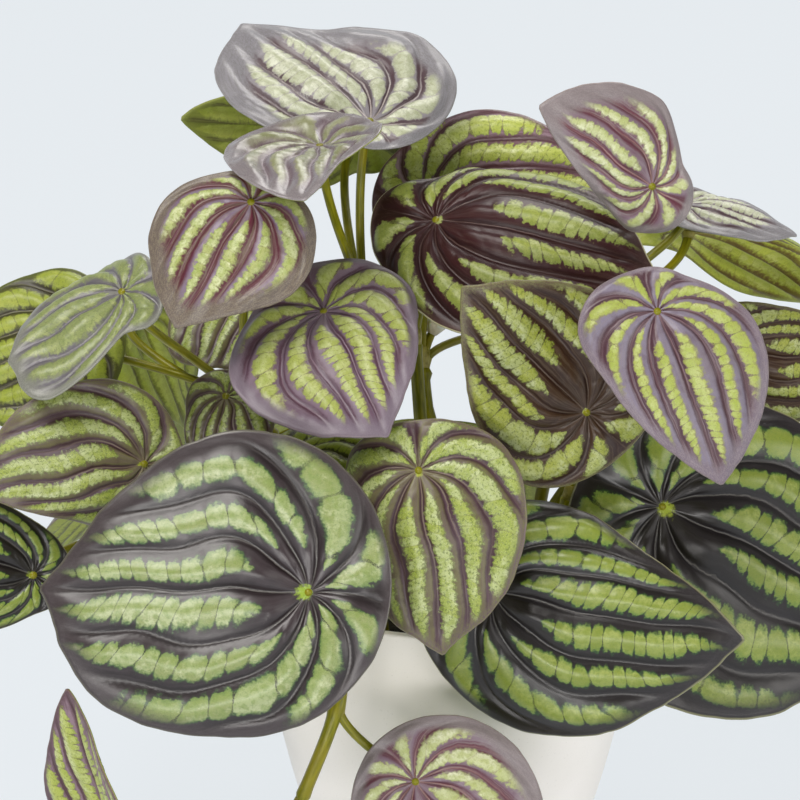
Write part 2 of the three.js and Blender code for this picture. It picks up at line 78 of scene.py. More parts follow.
# Leaves by name, in millimetres and degrees, placed as the solids are. look and back are the finishes of the
# upper face and the underside.
LEAVES = {
    "front_left": dict(
        look="dark", hub=(-46, -112, 156), tip=(-132, -104, 154), face=(1, -9, 4), roll=(25, 0),
        wide=1.04, detail="close", edge=(1, 1.09, 0.96, 0.88, 0.94, 0.98, 1, 0.96),
    ),
    "front_centre": dict(
        look="moss", hub=(-11, -80, 185), tip=(-3, -98, 128), face=(0, -9, 3), droop=25, roll=(10, 70),
        detail="close", edge=(1, 1, 0.97, 0.96, 0.82, 1, 1, 0.97),
    ),
    "front_right": dict(
        look="night", hub=(13, -68, 138), tip=(96, -78, 125), face=(0, -9, 2), droop=15, roll=(80, 25),
        detail="close", edge=(1, 0.77, 0.78, 0.85, 0.9, 0.9, 1, 0.98),
    ),
    "right_large": dict(
        look="night", hub=(71, -36, 155), tip=(149, -22, 108), face=(1, -9, 4), droop=25, roll=(20, 0),
        wide=1.1, detail="close", edge=(1, 1, 0.85, 0.76, 1, 1, 1.05, 1.1),
    ),
    "right_upper": dict(
        look="mauve", hub=(65, -74, 237), tip=(86, -88, 183), face=(1, -9, 4), droop=30, base=80,
        wide=0.94, detail="close", edge=(1, 1, 0.92, 0.64, 0.78, 0.97, 0.77, 0.82),
    ),
    "right_inner": dict(
        look="russet", hub=(44, -56, 196), tip=(3, -58, 240), face=(-1, -9, 2), droop=10,
        roll=(10, 20), wide=1.05, detail="close", edge=(1, 0.86, 0.88, 1.05, 1, 1, 0.95, 0.95),
    ),
    "centre_maroon": dict(
        look="maroon", hub=(-5, -8, 247), tip=(67, -26, 236), face=(0, -7, 7), droop=30, roll=(70, 20),
        wide=0.96, detail="close", edge=(1, 1, 1.05, 0.63, 0.92, 0.8, 0.97, 1),
    ),
    "centre_back": dict(
        look="wine", hub=(-7, 28, 244), tip=(56, 25, 245), face=(0, -9, 4), roll=(30, 20), wide=0.94,
        edge=(1, 1, 0.98, 0.78, 0.97, 1, 1, 1),
    ),
    "top_right": dict(
        look="rose", hub=(65, -36, 267), tip=(28, -32, 293), face=(-1, -8, 4), roll=(90, 30),
        edge=(1, 0.66, 0.66, 0.9, 1.03, 0.64, 1.01, 1.06),
    ),
    "silver_right": dict(
        look="silver", hub=(81, 20, 244), tip=(118, 14, 234), face=(0, -1, 9), droop=30, wide=0.85,
        edge=(1, 0.85, 0.8, 1, 1, 1, 1, 1),
    ),
    "under_right": dict(
        look="olive", hub=(84, 48, 226), tip=(138, 66, 192), face=(3, 6, 7), back="lime",
        edge=(1, 1, 0.6, 0.9, 1, 1, 1, 1),
    ),
    "far_right": dict(
        look="russet", hub=(98, 10, 193), tip=(144, 14, 190), face=(2, -9, 3),
        edge=(1, 0.82, 0.7, 0.8, 1, 1, 1, 1),
    ),
    "top_silver": dict(
        look="silver", hub=(-27, 0, 279), tip=(-71, 38, 302), face=(0, -3, 9), roll=(20, 0), wide=1.1,
        detail="close", edge=(1, 1.05, 0.72, 0.5, 0.7, 1.05, 1.05, 0.86),
    ),
    "small_silver": dict(
        look="pearl", hub=(-43, -36, 281), tip=(-47, -76, 275), face=(-1, -3, 9), droop=15, base=-40,
        roll=(-40, 0), edge=(1, 0.7, 1, 1, 1.5, 1.5, 1.25, 1.1),
    ),
    "under_left": dict(
        look="olive", hub=(-34, 62, 254), tip=(-94, 64, 262), face=(-1, 8, 4), roll=(25, 60), wide=1.1,
        edge=(1, 0.75, 0.9, 0.9, 0.9, 0.45, 0.6, 0.78),
    ),
    "upper_left": dict(
        look="plum", hub=(-65, -50, 266), tip=(-89, -68, 229), face=(-1, -8, 5), droop=25, base=90,
        wide=0.96, edge=(1, 0.96, 1.1, 0.97, 0.62, 0.66, 1.02, 1.03),
    ),
    "left_silver": dict(
        look="grey", hub=(-108, -42, 233), tip=(-145, -54, 213), face=(-2, -6, 7), droop=10,
        roll=(10, 70), edge=(1, 1.25, 0.62, 0.85, 0.95, 1.1, 0.95, 0.95),
    ),
    "left_back": dict(
        look="olive", hub=(-128, 0, 202), tip=(-174, 0, 185), face=(-2, -8, 5),
        edge=(1, 1, 1, 1, 1.1, 1.15, 1.02, 1),
    ),
    "left_mid": dict(
        look="moss", hub=(-101, -56, 178), tip=(-155, -66, 172), face=(0, -9, 4), roll=(90, 0),
        edge=(1, 0.72, 0.8, 1, 0.78, 0.88, 0.97, 1.05),
    ),
    "upper_centre": dict(
        look="lilac", hub=(-42, -44, 227), tip=(-21, -84, 198), face=(0, -8, 6), droop=30, base=-20,
        roll=(35, 0), wide=1.06, detail="close", edge=(1, 0.88, 0.9, 1.22, 1.15, 1, 1.18, 1.09),
    ),
    "left_deep": dict(
        look="moss", hub=(-72, 16, 213), tip=(-84, -4, 192), face=(-2, -7, 5), detail="far",
        edge=(1, 1.1, 1, 1, 1, 1, 1.2, 1.25),
    ),
    "left_under": dict(
        look="olive", hub=(-108, 36, 198), tip=(-92, 26, 160), face=(4, 7, 3), droop=10,
        edge=(1, 0.95, 1.05, 1, 0.9, 1.05, 1, 0.95),
    ),
    "left_inner": dict(
        look="moss", hub=(-75, -32, 193), tip=(-80, -50, 167), face=(-2, -8, 5),
        edge=(1, 1, 1, 1, 1, 0.85, 0.72, 0.85),
    ),
    "low_inner": dict(
        look="olive", hub=(-51, -48, 177), tip=(-18, -62, 171), face=(1, -5, 8), detail="far",
        edge=(1, 1.05, 0.92, 1, 1, 0.95, 1, 1.04),
    ),
    "bottom_left": dict(
        look="wine", hub=(-107, -85, 52), tip=(-126, -90, 113), face=(-7, -5, 1), droop=10,
        roll=(0, 0), fold=0.3, wide=0.85, edge=(1, 0.85, 0.9, 1, 1, 1, 1, 1),
    ),
    "bottom_centre": dict(
        look="rose", hub=(-12, -100, 84), tip=(23, -108, 39), face=(0, -9, 3),
        edge=(1, 1.04, 1.03, 1, 0.97, 0.86, 1, 1),
    ),
    "far_left": dict(
        look="night", hub=(-138, -62, 141), tip=(-188, -66, 165), face=(-1, -9, 4),
        edge=(1, 0.9, 0.8, 0.55, 0.7, 0.55, 0.55, 0.8),
    ),
    "back_low_left": dict(
        look="dark", hub=(-58, 92, 152), tip=(-94, 130, 98), face=(-4, 8, 5), droop=25, roll=(20, 25),
        detail="far", edge=(1, 0.94, 1, 1.04, 0.93, 1, 0.95, 1.05),
    ),
    "back_low_middle": dict(
        look="night", hub=(-6, 98, 122), tip=(-8, 126, 54), face=(0, 9, 4), roll=(25, 20), detail="far",
        edge=(1, 1.04, 0.95, 1, 0.92, 0.98, 1.04, 0.96),
    ),
    "back_low_right": dict(
        look="moss", hub=(54, 90, 142), tip=(78, 124, 90), face=(3, 9, 4), droop=25, detail="far",
        edge=(1, 0.96, 1.03, 0.94, 1, 0.93, 1, 1.05),
    ),
    "back_mid_left": dict(
        look="moss", hub=(-84, 74, 188), tip=(-128, 98, 158), face=(-4, 5, 7), roll=(20, 25),
        detail="far", edge=(1, 1.03, 0.94, 1, 0.9, 1.04, 0.97, 1),
    ),
    "back_mid": dict(
        look="plum", hub=(-28, 84, 198), tip=(-40, 130, 166), face=(-1, 7, 7), droop=25, detail="far",
        edge=(1, 0.95, 1.04, 0.97, 0.92, 1, 0.94, 1.03),
    ),
    "back_mid_right": dict(
        look="moss", hub=(34, 84, 192), tip=(52, 128, 158), face=(2, 7, 7), roll=(25, 20),
        detail="far", edge=(1, 1.04, 0.98, 0.93, 1, 0.96, 1.04, 0.95),
    ),
    "back_right": dict(
        look="night", hub=(106, 44, 160), tip=(150, 66, 124), face=(6, 3, 6), droop=25, detail="far",
        edge=(1, 0.95, 1.02, 1, 0.9, 0.97, 1.04, 0.97),
    ),
    "back_left": dict(
        look="plum", hub=(-108, 52, 134), tip=(-146, 74, 92), face=(-6, 5, 5), roll=(20, 25),
        detail="far", edge=(1, 1.04, 0.94, 1, 0.93, 1.03, 0.96, 1),
    ),
    "back_top": dict(
        look="silver", hub=(16, 62, 234), tip=(28, 108, 222), face=(0, 4, 9), droop=25,
        edge=(1, 0.94, 1, 0.95, 0.9, 1.03, 0.96, 1.04),
    ),
}

# Leafy stems by name: the middle line of each, then its leaves with the share of the stem at which they
# leave it
STEMS = {
    "front_low": (
        [(-22, -34, 80), (-24, -40, 118), (-32, -66, 129), (-38, -88, 104), (-50, -92, 72)],
        {"bottom_centre": 0.74, "bottom_left": 1, "front_left": 0.5},
    ),
    "front": (
        [(-6, -28, 80), (-8, -30, 120), (-14, -34, 160)],
        {"front_centre": 1, "front_right": 0.6, "low_inner": 0.9, "upper_centre": 1},
    ),
    "left": (
        [(-36, -14, 80), (-46, -18, 118), (-68, -26, 150)],
        {"left_mid": 1, "far_left": 0.9, "left_inner": 0.8},
    ),
    "left_high": (
        [(-30, 10, 80), (-40, 8, 128), (-68, 0, 176)],
        {"left_silver": 1, "left_back": 1, "left_under": 0.9, "upper_left": 0.9},
    ),
    "top_left": (
        [(-14, 2, 80), (-18, 0, 150), (-28, -4, 210)],
        {"small_silver": 1, "top_silver": 1, "under_left": 0.9, "left_deep": 0.6},
    ),
    "centre": ([(0, -6, 80), (-8, -8, 150), (-12, -8, 205)], {"centre_maroon": 1}),
    "top_right": (
        [(26, 8, 80), (34, 10, 150), (56, 12, 215)],
        {"top_right": 1, "silver_right": 1, "under_right": 0.9, "right_upper": 1, "far_right": 0.6},
    ),
    "right": ([(24, -18, 80), (30, -24, 120), (40, -32, 158)], {"right_inner": 1, "right_large": 0.7}),
    "back_left": (
        [(-20, 26, 80), (-26, 34, 124), (-44, 50, 158)],
        {"back_low_left": 1, "back_mid_left": 1, "back_left": 0.9},
    ),
    "back": (
        [(0, 30, 80), (-4, 38, 130), (-9, 50, 174)],
        {"back_low_middle": 0.8, "back_mid": 1, "back_mid_right": 1, "back_top": 1, "centre_back": 1},
    ),
    "back_right": ([(26, 28, 80), (34, 34, 120), (54, 46, 146)], {"back_low_right": 1, "back_right": 1}),
}

# Finishes of a blade's face, as what differs from USUAL_LOOK. Colours are sRGB. Each band between two veins
# has a ground and a green. vein, flank and other colour the ground at the vein, before the green and after
# it; the lighter of flank and other is partly print and partly painted sheen on one side of each ridge. pale
# and mid are other tones of the green, deep is its rim and specks, and halo the ground next to it. streak is
# in the margin and the ground, line between cells, thread along each vein and edge on the cut. The pale
# thread line is partly print and partly a painted highlight along the vein's crease.
# Across a band, 0 and 1 are its veins. The green reaches width to both sides of 0.5 + shift, and the vein's
# colour fades out over vein_span. From hub to margin the green opens over start and the margin comes in over
# margin_at. From hub to tip the green closes over end, down to the share last of its width. soft, ragged and
# scallop shape its edge. count cells lie along a band, and cells is how strong the lines between them are,
# which widen by teeth at that edge. one_sided is how far the two sides of a band differ, and tilt how far
# the green does. threads, speckle, edge_show, stripe and flecks are strengths, and hub_size is a share of
# the way to the margin.
USUAL_LOOK = dict(
    shift=0.0, start=(0.04, 0.2), end=(0.7, 0.98), last=0.3, margin_at=(0.93, 1.0), soft=0.03, ragged=0.34,
    scallop=0.3, cells=0.5, halo_width=0.05, one_sided=0.4, rough=0.42, specular=0.5, threads=0.3,
    hub_size=0.03, speckle=0.7, edge_show=0.15, tilt=0.55, count=15, stripe=0.5, teeth=0.1, flecks=0.3,
)
LOOKS = {
    "dark": dict(
        vein="1a1112", flank="362c2f", other="2b2225", green="8b965c", pale="b6bd92", mid="7c9048",
        deep="5f7a3c", halo="3a5e30", margin="3b3334", streak="453d3f", line="23241c", thread="8a8781",
        edge="a5a67f", hub="8fa838", width=0.3, vein_span=(0.03, 0.26), start=(0.16, 0.42), last=0.32,
        margin_at=(0.86, 1.0), ragged=0.2, scallop=0.32, cells=0.95, halo_width=0.08, rough=0.33,
        specular=0.6, threads=0.35, hub_size=0.06, speckle=0.35, stripe=0.35, teeth=0.04, flecks=0.25,
    ),
    "night": dict(
        vein="151011", flank="1e1917", other="191412", green="7e8b38", pale="9ca65c", mid="78882f",
        deep="5c7a34", halo="2c5022", margin="242021", streak="302b2d", line="191a12", thread="7c7872",
        edge="a8a678", hub="9aa830", width=0.31, vein_span=(0.03, 0.26), start=(0.16, 0.42), last=0.32,
        margin_at=(0.86, 1.0), ragged=0.2, scallop=0.36, cells=1.0, halo_width=0.08, rough=0.33,
        specular=0.52, threads=0.35, hub_size=0.06, speckle=0.35, edge_show=0.5, count=17, stripe=0.35,
        teeth=0.04, flecks=0.25,
    ),
    "moss": dict(
        vein="3a2229", flank="6f6a44", other="66603f", green="98a44a", pale="c6cda0", mid="8a9a3a",
        deep="5c6c26", halo="6c7048", margin="65633e", streak="5c4652", line="55482f", thread="a89a80",
        edge="c4b890", hub="9aa428", width=0.3, shift=-0.1, vein_span=(0.07, 0.2), start=(0.1, 0.3),
        end=(0.75, 0.99), last=0.4, margin_at=(0.92, 1.0), soft=0.04, ragged=0.38, scallop=0.2,
        one_sided=1.0, hub_size=0.045, speckle=0.8, count=17, teeth=0.12, flecks=0.5,
    ),
    "russet": dict(
        vein="28100a", flank="3c2716", other="2f1c10", green="979e44", pale="b4bb8e", mid="8c962f",
        deep="626c1e", halo="5a5230", margin="6b6a44", streak="5a4a3c", line="3c3420", thread="7d6c58",
        edge="a8a478", hub="b4bc60", width=0.34, shift=-0.04, vein_span=(0.04, 0.2), start=(0.28, 0.54),
        last=0.5, ragged=0.32, cells=0.8, one_sided=0.6, rough=0.4, specular=0.42, hub_size=0.04,
        speckle=0.8, count=16, flecks=0.4,
    ),
    "mauve": dict(
        vein="482b34", flank="573b42", other="7b7384", green="9ca64e", pale="bfc488", mid="9aaa3e",
        deep="8c8f48", halo="77645c", margin="706470", streak="82767c", line="553a40", thread="94767a",
        edge="b09c84", hub="9a6a50", width=0.24, shift=-0.13, vein_span=(0.07, 0.24), start=(0.14, 0.34),
        end=(0.6, 0.95), margin_at=(0.86, 0.96), soft=0.035, ragged=0.24, scallop=0.25, cells=0.9,
        halo_width=0.04, one_sided=1.0, threads=0.35, count=19, teeth=0.2,
    ),
    "plum": dict(
        vein="521b2c", flank="7a6a80", other="63293c", green="a6ad6a", pale="cbd0a2", mid="8fa048",
        deep="7c8a3c", halo="8c8a68", margin="60564f", streak="7a705f", line="5f4a3c", thread="8c7a6c",
        edge="b0a28e", hub="8a6a44", width=0.24, shift=0.1, vein_span=(0.12, 0.34), start=(0.16, 0.36),
        end=(0.6, 0.93), last=0.35, margin_at=(0.78, 0.9), soft=0.05, ragged=0.36, scallop=0.25, cells=0.45,
        halo_width=0.06, one_sided=1.0, rough=0.4, threads=0.25, speckle=0.6, count=16, stripe=0.6,
    ),
    "wine": dict(
        vein="46262c", flank="8e7682", other="6a4550", green="b6bf60", pale="d2d89c", mid="a3b042",
        deep="82903a", halo="6a5a44", margin="4e3038", streak="5e3f48", line="4a2f30", thread="a08690",
        edge="c4b898", hub="8a8a50", width=0.35, shift=0.04, vein_span=(0.05, 0.16), start=(0.08, 0.26),
        last=0.4, ragged=0.3, cells=0.7, one_sided=0.8, rough=0.36, threads=0.35, hub_size=0.04, speckle=0.8,
        count=18, stripe=0.6, teeth=0.14,
    ),
    "rose": dict(
        vein="5a2a38", flank="776270", other="6a4a58", green="b2ba84", pale="d2d6b4", mid="a2ac62",
        deep="8c9454", halo="86806c", margin="7a7273", streak="857c7d", line="846c60", thread="c4a494",
        edge="bca896", hub="8a7048", width=0.26, shift=0.08, vein_span=(0.08, 0.26), start=(0.08, 0.26),
        end=(0.6, 0.93), last=0.35, margin_at=(0.74, 0.88), soft=0.05, scallop=0.25, halo_width=0.06,
        one_sided=0.9, rough=0.4, speckle=0.5, count=16,
    ),
    "lilac": dict(
        vein="4c2e3e", flank="766371", other="5f4757", green="9ba550", pale="b8be80", mid="909e42",
        deep="838a3e", halo="847a62", margin="6c606c", streak="726672", line="4c2c3a", thread="968090",
        edge="a59488", hub="b0a850", width=0.33, shift=0.02, vein_span=(0.06, 0.17), start=(0.08, 0.26),
        end=(0.6, 0.96), last=0.35, margin_at=(0.84, 0.94), soft=0.035, ragged=0.26, scallop=0.28,
        cells=0.95, halo_width=0.04, one_sided=0.8, threads=0.5, hub_size=0.035, count=19, stripe=0.6,
        teeth=0.2,
    ),
    # The silver look's grey margin and streak are partly the printed margin band and partly painted sheen on
    # the upturned margin
    "silver": dict(
        vein="4c383e", flank="898388", other="817c80", green="b6bb9e", pale="cbceb9", mid="9aa07c",
        deep="94977e", halo="a3a09a", margin="868489", streak="787678", line="8d838c", thread="b4aca6",
        edge="bcb6ae", hub="8f8a5a", width=0.37, vein_span=(0.12, 0.19), end=(0.6, 0.86),
        margin_at=(0.74, 0.84), soft=0.025, ragged=0.22, scallop=0.38, cells=0.85, one_sided=0.3, rough=0.34,
        threads=0.85, speckle=0.6, tilt=0.3, stripe=0.4, teeth=0.03, flecks=0.5,
    ),
    "pearl": dict(
        vein="64525a", flank="766f74", other="6e5f62", green="7c8058", pale="9fa28a", mid="8a8c68",
        deep="84865c", halo="908a84", margin="766f72", streak="827c7c", line="857a78", thread="a49aa0",
        edge="b6aeb0", hub="8c8468", width=0.28, shift=0.06, vein_span=(0.03, 0.25), end=(0.5, 0.9),
        margin_at=(0.72, 0.92), soft=0.12, scallop=0.1, cells=0.25, one_sided=1.0, rough=0.27, specular=0.6,
        speckle=0.3, teeth=0.02, flecks=0.4,
    ),
    "grey": dict(
        vein="5c575f", flank="6c6a66", other="68665a", green="808a52", pale="9aa266", mid="76844c",
        deep="687246", halo="86866c", margin="72736a", streak="818178", line="5a5848", thread="a29e98",
        edge="b4b49c", hub="8c8a60", width=0.38, vein_span=(0.08, 0.3), end=(0.6, 0.95), last=0.4,
        margin_at=(0.85, 0.98), soft=0.08, ragged=0.4, scallop=0.12, cells=0.35, one_sided=0.5, rough=0.36,
        threads=0.1, stripe=0.6, teeth=0.04, flecks=0.8,
    ),
    "maroon": dict(
        vein="270d0f", flank="391a1d", other="2c1216", green="959f4c", pale="b2b87c", mid="7c8a36",
        deep="788440", halo="5c4c34", margin="47302f", streak="54403c", line="33221e", thread="7a605a",
        edge="cdc8a0", hub="9aa45e", width=0.29, vein_span=(0.05, 0.26), start=(0.28, 0.5), end=(0.6, 0.96),
        margin_at=(0.9, 1.0), ragged=0.28, cells=0.85, one_sided=0.5, rough=0.34, specular=0.3,
        hub_size=0.045, edge_show=0.9, stripe=0.3, teeth=0.12, flecks=0.25,
    ),
    "olive": dict(
        vein="2c260e", flank="4f511b", other="474a1a", green="96a232", pale="a9b04e", mid="8e9c34",
        deep="74802a", halo="6e7028", margin="58601f", streak="4e5420", line="4c4822", thread="a8a46a",
        edge="b9bd58", hub="98a038", width=0.38, vein_span=(0.05, 0.2), last=0.5, soft=0.05, scallop=0.18,
        cells=0.7, threads=0.4, hub_size=0.04, speckle=0.5, stripe=0.4,
    ),
    "under": dict(
        vein="4a4818", flank="7a8230", other="6c7226", green="97a436", pale="a8b152", mid="8a9034",
        deep="76802a", halo="707826", margin="7c8434", streak="848c3c", line="5c5e22", thread="a0a05c",
        edge="b0b262", hub="98a038", width=0.44, vein_span=(0.05, 0.24), last=0.5, soft=0.12, ragged=0.3,
        scallop=0.05, cells=0.3, one_sided=0.2, rough=0.5, threads=0.5, hub_size=0.02, speckle=0.3,
        stripe=0.35, teeth=0.04, flecks=0.25,
    ),
    # The lime underside is its yellow-green made far brighter: painted glow of light shining through the thin
    # blade
    "lime": dict(
        vein="7a602e", flank="c0b050", other="b4a048", green="ecf268", pale="f4f694", mid="dde850",
        deep="cbd648", halo="bcbe48", margin="c2ca54", streak="a6ae46", line="8c8c38", thread="a6a858",
        edge="b4b860", hub="9aa838", width=0.36, vein_span=(0.05, 0.34), start=(0.04, 0.16), last=0.5,
        soft=0.1, ragged=0.35, scallop=0.08, cells=0.4, rough=0.5, threads=0.4, hub_size=0.02, speckle=0.35,
        stripe=0.2, teeth=0.04, flecks=0.25,
    ),
}

# Veins leave the hub as rays and bend towards the tip: by how much at the margin, and how fast that starts
VEIN_BEND = math.radians(80)
VEIN_START = 0.25
VEIN_FADE = 0.8
VEIN_POWER = 1.5
VEIN_STARTS = np.radians([-180, -148, -112, -80, -50, 0, 50, 80, 112, 148, 180])
CELL_CROWDING = 1.4
CELL_SLANT = 0.9

# How far a green band strays from the middle between its veins, in bands, and the stripes across a band
BAND_WANDER = 0.25
STRIPES = 13.0

# How far veins stray, in bands, and how unevenly cells are spaced along a band, in cells
VEIN_WANDER = 0.2
CELL_UNEVEN = 0.17

# Height of the margin's small waves, in reaches, and how many of each run round it
MARGIN_WAVES = 0.003
MARGIN_TURNS = (13, 19, 27, 38, 53)

# Slots of a blade's materials, the first leaf's seed, and how far apart the leaves' noises are in centimetres
UPPER, UNDER = 0, 1
LEAF_SEED = 100
PRINT_STEP = 7.0

# Relief in millimetres
SWELL = 1.8
GROOVE, GROOVE_WIDTH = 0.7, 0.9
PUCKER = 0.3
RUFFLE, RUFFLE_TURNS = 0.7, (3, 5, 8, 11)
DENTS = 1.1
CREASE, CREASE_END = 0.8, 0.4
RIM_ROUND = 0.3


# Meshes

class Shape:
    """Points, faces and values at the faces' corners, gathered before one mesh is made of them."""

    def __init__(self, *map_names):
        self.points = []
        self.count = 0
        self.faces = []
        self.slots = []
        self.maps = {name: [] for name in map_names}

    def add_points(self, points):
        """Adds points and returns the number of the first."""
        first = self.count
        points = np.asarray(points, float).reshape(-1, 3)
        self.points.append(points)
        self.count += len(points)
        return first

    def add_faces(self, faces, slot=0, **values):
        """Adds faces with the same number of corners. values holds two numbers a corner for each map."""
        faces = np.asarray(faces, int)
        self.faces.append(faces)
        self.slots.append(np.full(len(faces), slot))
        for name, kept in self.maps.items():
            kept.append(np.broadcast_to(values.get(name, 0.0), faces.shape + (2,)).reshape(-1, 2))

    def add_closed_rows(self, rows, slot=0, **values):
        """Adds a closed form from rows of points that run round an axis, from the bottom up."""
        first = self.add_points(rows)
        count, sides = np.shape(rows)[:2]
        self.add_faces(grid_faces(first, count, sides)[:, ::-1], slot, **values)
        self.add_faces([first + (count - 1) * sides + np.arange(sides)], slot)
        self.add_faces([first + np.arange(sides)[::-1]], slot)

    def piece(self, name, materials):
        """Makes the mesh, in metres, and its object."""
        mesh = bpy.data.meshes.new(name)
        points = np.concatenate(self.points) * MM
        corners = np.concatenate([faces.ravel() for faces in self.faces])
        sizes = np.concatenate([np.full(len(faces), faces.shape[1]) for faces in self.faces])
        mesh.vertices.add(len(points))
        mesh.vertices.foreach_set("co", points.astype(np.float32).ravel())
        mesh.loops.add(len(corners))
        mesh.loops.foreach_set("vertex_index", corners.astype(np.int32))
        mesh.polygons.add(len(sizes))
        mesh.polygons.foreach_set("loop_start", (np.cumsum(sizes) - sizes).astype(np.int32))
        mesh.polygons.foreach_set("material_index", np.concatenate(self.slots).astype(np.int32))
        for map_name, kept in self.maps.items():
            layer = mesh.uv_layers.new(name=map_name)
            layer.data.foreach_set("uv", np.concatenate(kept).astype(np.float32).ravel())
        mesh.update(calc_edges=True)
        mesh.validate()
        mesh.shade_smooth()
        for material in materials:
            mesh.materials.append(material)
        piece = bpy.data.objects.new(name, mesh)
        bpy.context.scene.collection.objects.link(piece)
        return piece


def dress(piece, node):
    """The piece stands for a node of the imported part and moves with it."""
    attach(piece, "root")
    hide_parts(node)


def unit(vector):
    vector = np.asarray(vector, float)
    return vector / np.linalg.norm(vector, axis=-1, keepdims=True)


def round_points(radius, turn, height):
    """Points round the Z axis from radii, angles and heights, each a grid, a row, a column or a number."""
    parts = np.broadcast_arrays(radius * np.cos(turn), radius * np.sin(turn), height)
    return np.stack(parts, axis=-1)


def grid_faces(first, rows, columns, closed=True):
    """Quads between rows of points, counter-clockwise for rows that go outwards or up."""
    last = columns if closed else columns - 1
    row, column = (v.ravel() for v in np.meshgrid(np.arange(rows - 1), np.arange(last), indexing="ij"))
    after = (column + 1) % columns
    corners = [row * columns + column, (row + 1) * columns + column]
    corners += [(row + 1) * columns + after, row * columns + after]
    return first + np.stack(corners, axis=-1)


# Blades

def smooth(value, low, high):
    """0 up to low, 1 from high, and a smooth step between."""
    t = np.clip((value - low) / (high - low), 0, 1)
    return t * t * (3 - 2 * t)


def edge_share(leaf, a):
    """By how much the margin is drawn in or out at angles a: a closed curve through the edge values."""
    place = (np.asarray(a) / TAU + 1) % 1 * EDGE_POINTS
    i = np.floor(place).astype(int)
    w = place - i
    before, here, following, after = (np.take(leaf["edge"], (i + k) % EDGE_POINTS) for k in (-1, 0, 1, 2))
    slope = (following - before) / 2
    next_slope = (after - here) / 2
    rise = following - here
    square = 3 * rise - 2 * slope - next_slope
    cube = slope + next_slope - 2 * rise
    return here + w * (slope + w * (square + w * cube))


def outline(leaf, a):
    """Flat points of the margin at angles a, 0 at the tip."""
    point = TIP * np.exp(-((np.abs(a) / TIP_WIDTH) ** TIP_POWER))
    x = MIDDLE + HALF * np.cos(a) + point
    y = SIDE * leaf["wide"] * np.sin(a) * (1 - SKEW * np.cos(a))
    share = edge_share(leaf, a)
    return x * share, y * share


def surface(leaf, x, y):
    """The upper face at flat points, in units of the reach."""
    roll = np.radians(np.where(y > 0, leaf["roll"][0], leaf["roll"][1])) / SIDE
    base = leaf["droop"] if leaf["base"] is None else leaf["base"]
    droop = np.radians(np.where(x < 0, base, leaf["droop"]))
    roll = np.where(roll == 0, 1e-6, roll)
    hollow = HOLLOW_DEPTH * (1 - np.exp(-(x * x + y * y) / HOLLOW_RADIUS**2))
    lift = leaf["fold"] * (np.hypot(y, FOLD_ROUND) - FOLD_ROUND)
    side = y * roll
    z = hollow + lift - (1 - np.cos(side)) / roll
    bend = x * droop
    along = np.sin(bend) / droop + z * np.sin(bend)
    return np.stack([along, np.sin(side) / roll, z * np.cos(bend) - (1 - np.cos(bend)) / droop], axis=-1)


def surface_normal(leaf, x, y):
    step = 1e-3
    by_x = surface(leaf, x + step, y) - surface(leaf, x - step, y)
    by_y = surface(leaf, x, y + step) - surface(leaf, x, y - step)
    return unit(np.cross(by_x, by_y))


def basis(along, up):
    """Axes as columns: the first along, the third as near to up as it can be."""
    x = unit(along)
    z = unit(np.asarray(up, float) - np.dot(up, x) * x)
    return np.stack([x, np.cross(z, x), z], axis=1)


def leaf_named(name):
    return {**USUAL_LEAF, **LEAVES[name]}


def look_named(name):
    return {**USUAL_LOOK, **LOOKS[name]}


def placing(leaf):
    """The turn from the blade's own axes to its place, and its reach."""
    own_tip = surface(leaf, *(np.float64(v) for v in outline(leaf, 0.0)))
    span = np.subtract(leaf["tip"], leaf["hub"])
    turn = basis(span, leaf["face"]) @ basis(own_tip, (0, 0, 1)).T
    return turn, np.linalg.norm(span) / np.linalg.norm(own_tip)


def waves(draw, x, y, count, pitch):
    """A smooth irregular value round nought from a few sine waves."""
    total = np.zeros_like(x)
    for _ in range(count):
        way = draw.uniform(0, TAU)
        rate = TAU / pitch * draw.uniform(0.6, 1.4)
        total = total + np.sin(rate * (x * math.cos(way) + y * math.sin(way)) + draw.uniform(0, TAU))
    return total / count


def vein_label(a, share, leaf):
    """Whole numbers on the veins, nought on the midrib and 5 behind the hub."""
    ox, oy = outline(leaf, a)
    angle = np.arctan2(oy, ox)
    away = np.abs(angle)
    pull = VEIN_BEND * np.tanh(away / VEIN_START) * (1 - away / math.pi) ** VEIN_FADE * share**VEIN_POWER
    return np.interp(angle + np.sign(angle) * pull, VEIN_STARTS, np.arange(-5, 6))


def uneven_margin(draw, a):
    """Small irregular waves of the cut margin, as a share of the reach."""
    total = np.zeros_like(a)
    for turns in MARGIN_TURNS:
        size = draw.uniform(0.4, 1.0) * MARGIN_TURNS[0] / turns
        total = total + size * np.sin(turns * a + draw.uniform(0, TAU))
    return MARGIN_WAVES * total


def blade_fields(leaf, draw, reach, rings, sides):
    """What varies over a blade, on a grid of rings and angles that runs once round, ends included."""
    share = (np.arange(1, rings + 1) / rings)[:, None] ** 0.92
    a = (-math.pi + TAU * (np.arange(sides + 1) + 0.5) / sides)[None, :]
    wrapped = np.where(a > math.pi, a - TAU, a)
    ox, oy = outline(leaf, wrapped)
    cut = 1 + uneven_margin(draw, a) * share**6
    x = share * cut * ox
    y = share * cut * oy
    label = vein_label(wrapped, share, leaf) + np.where(a > math.pi, 10, 0)
    label = label + VEIN_WANDER * waves(draw, x, y, 5, 0.5) * smooth(share, 0, 0.3)
    spacing = reach / np.maximum(slope_of(label, share, a, x, y), 2.0)
    to_tip = np.hypot(x - 1.0, y)
    from_hub = np.hypot(x, y)
    return {"share": share + 0 * a, "angle": a + 0 * share, "x": x, "y": y, "label": label,
            "spacing": spacing, "along": from_hub / (from_hub + to_tip)}


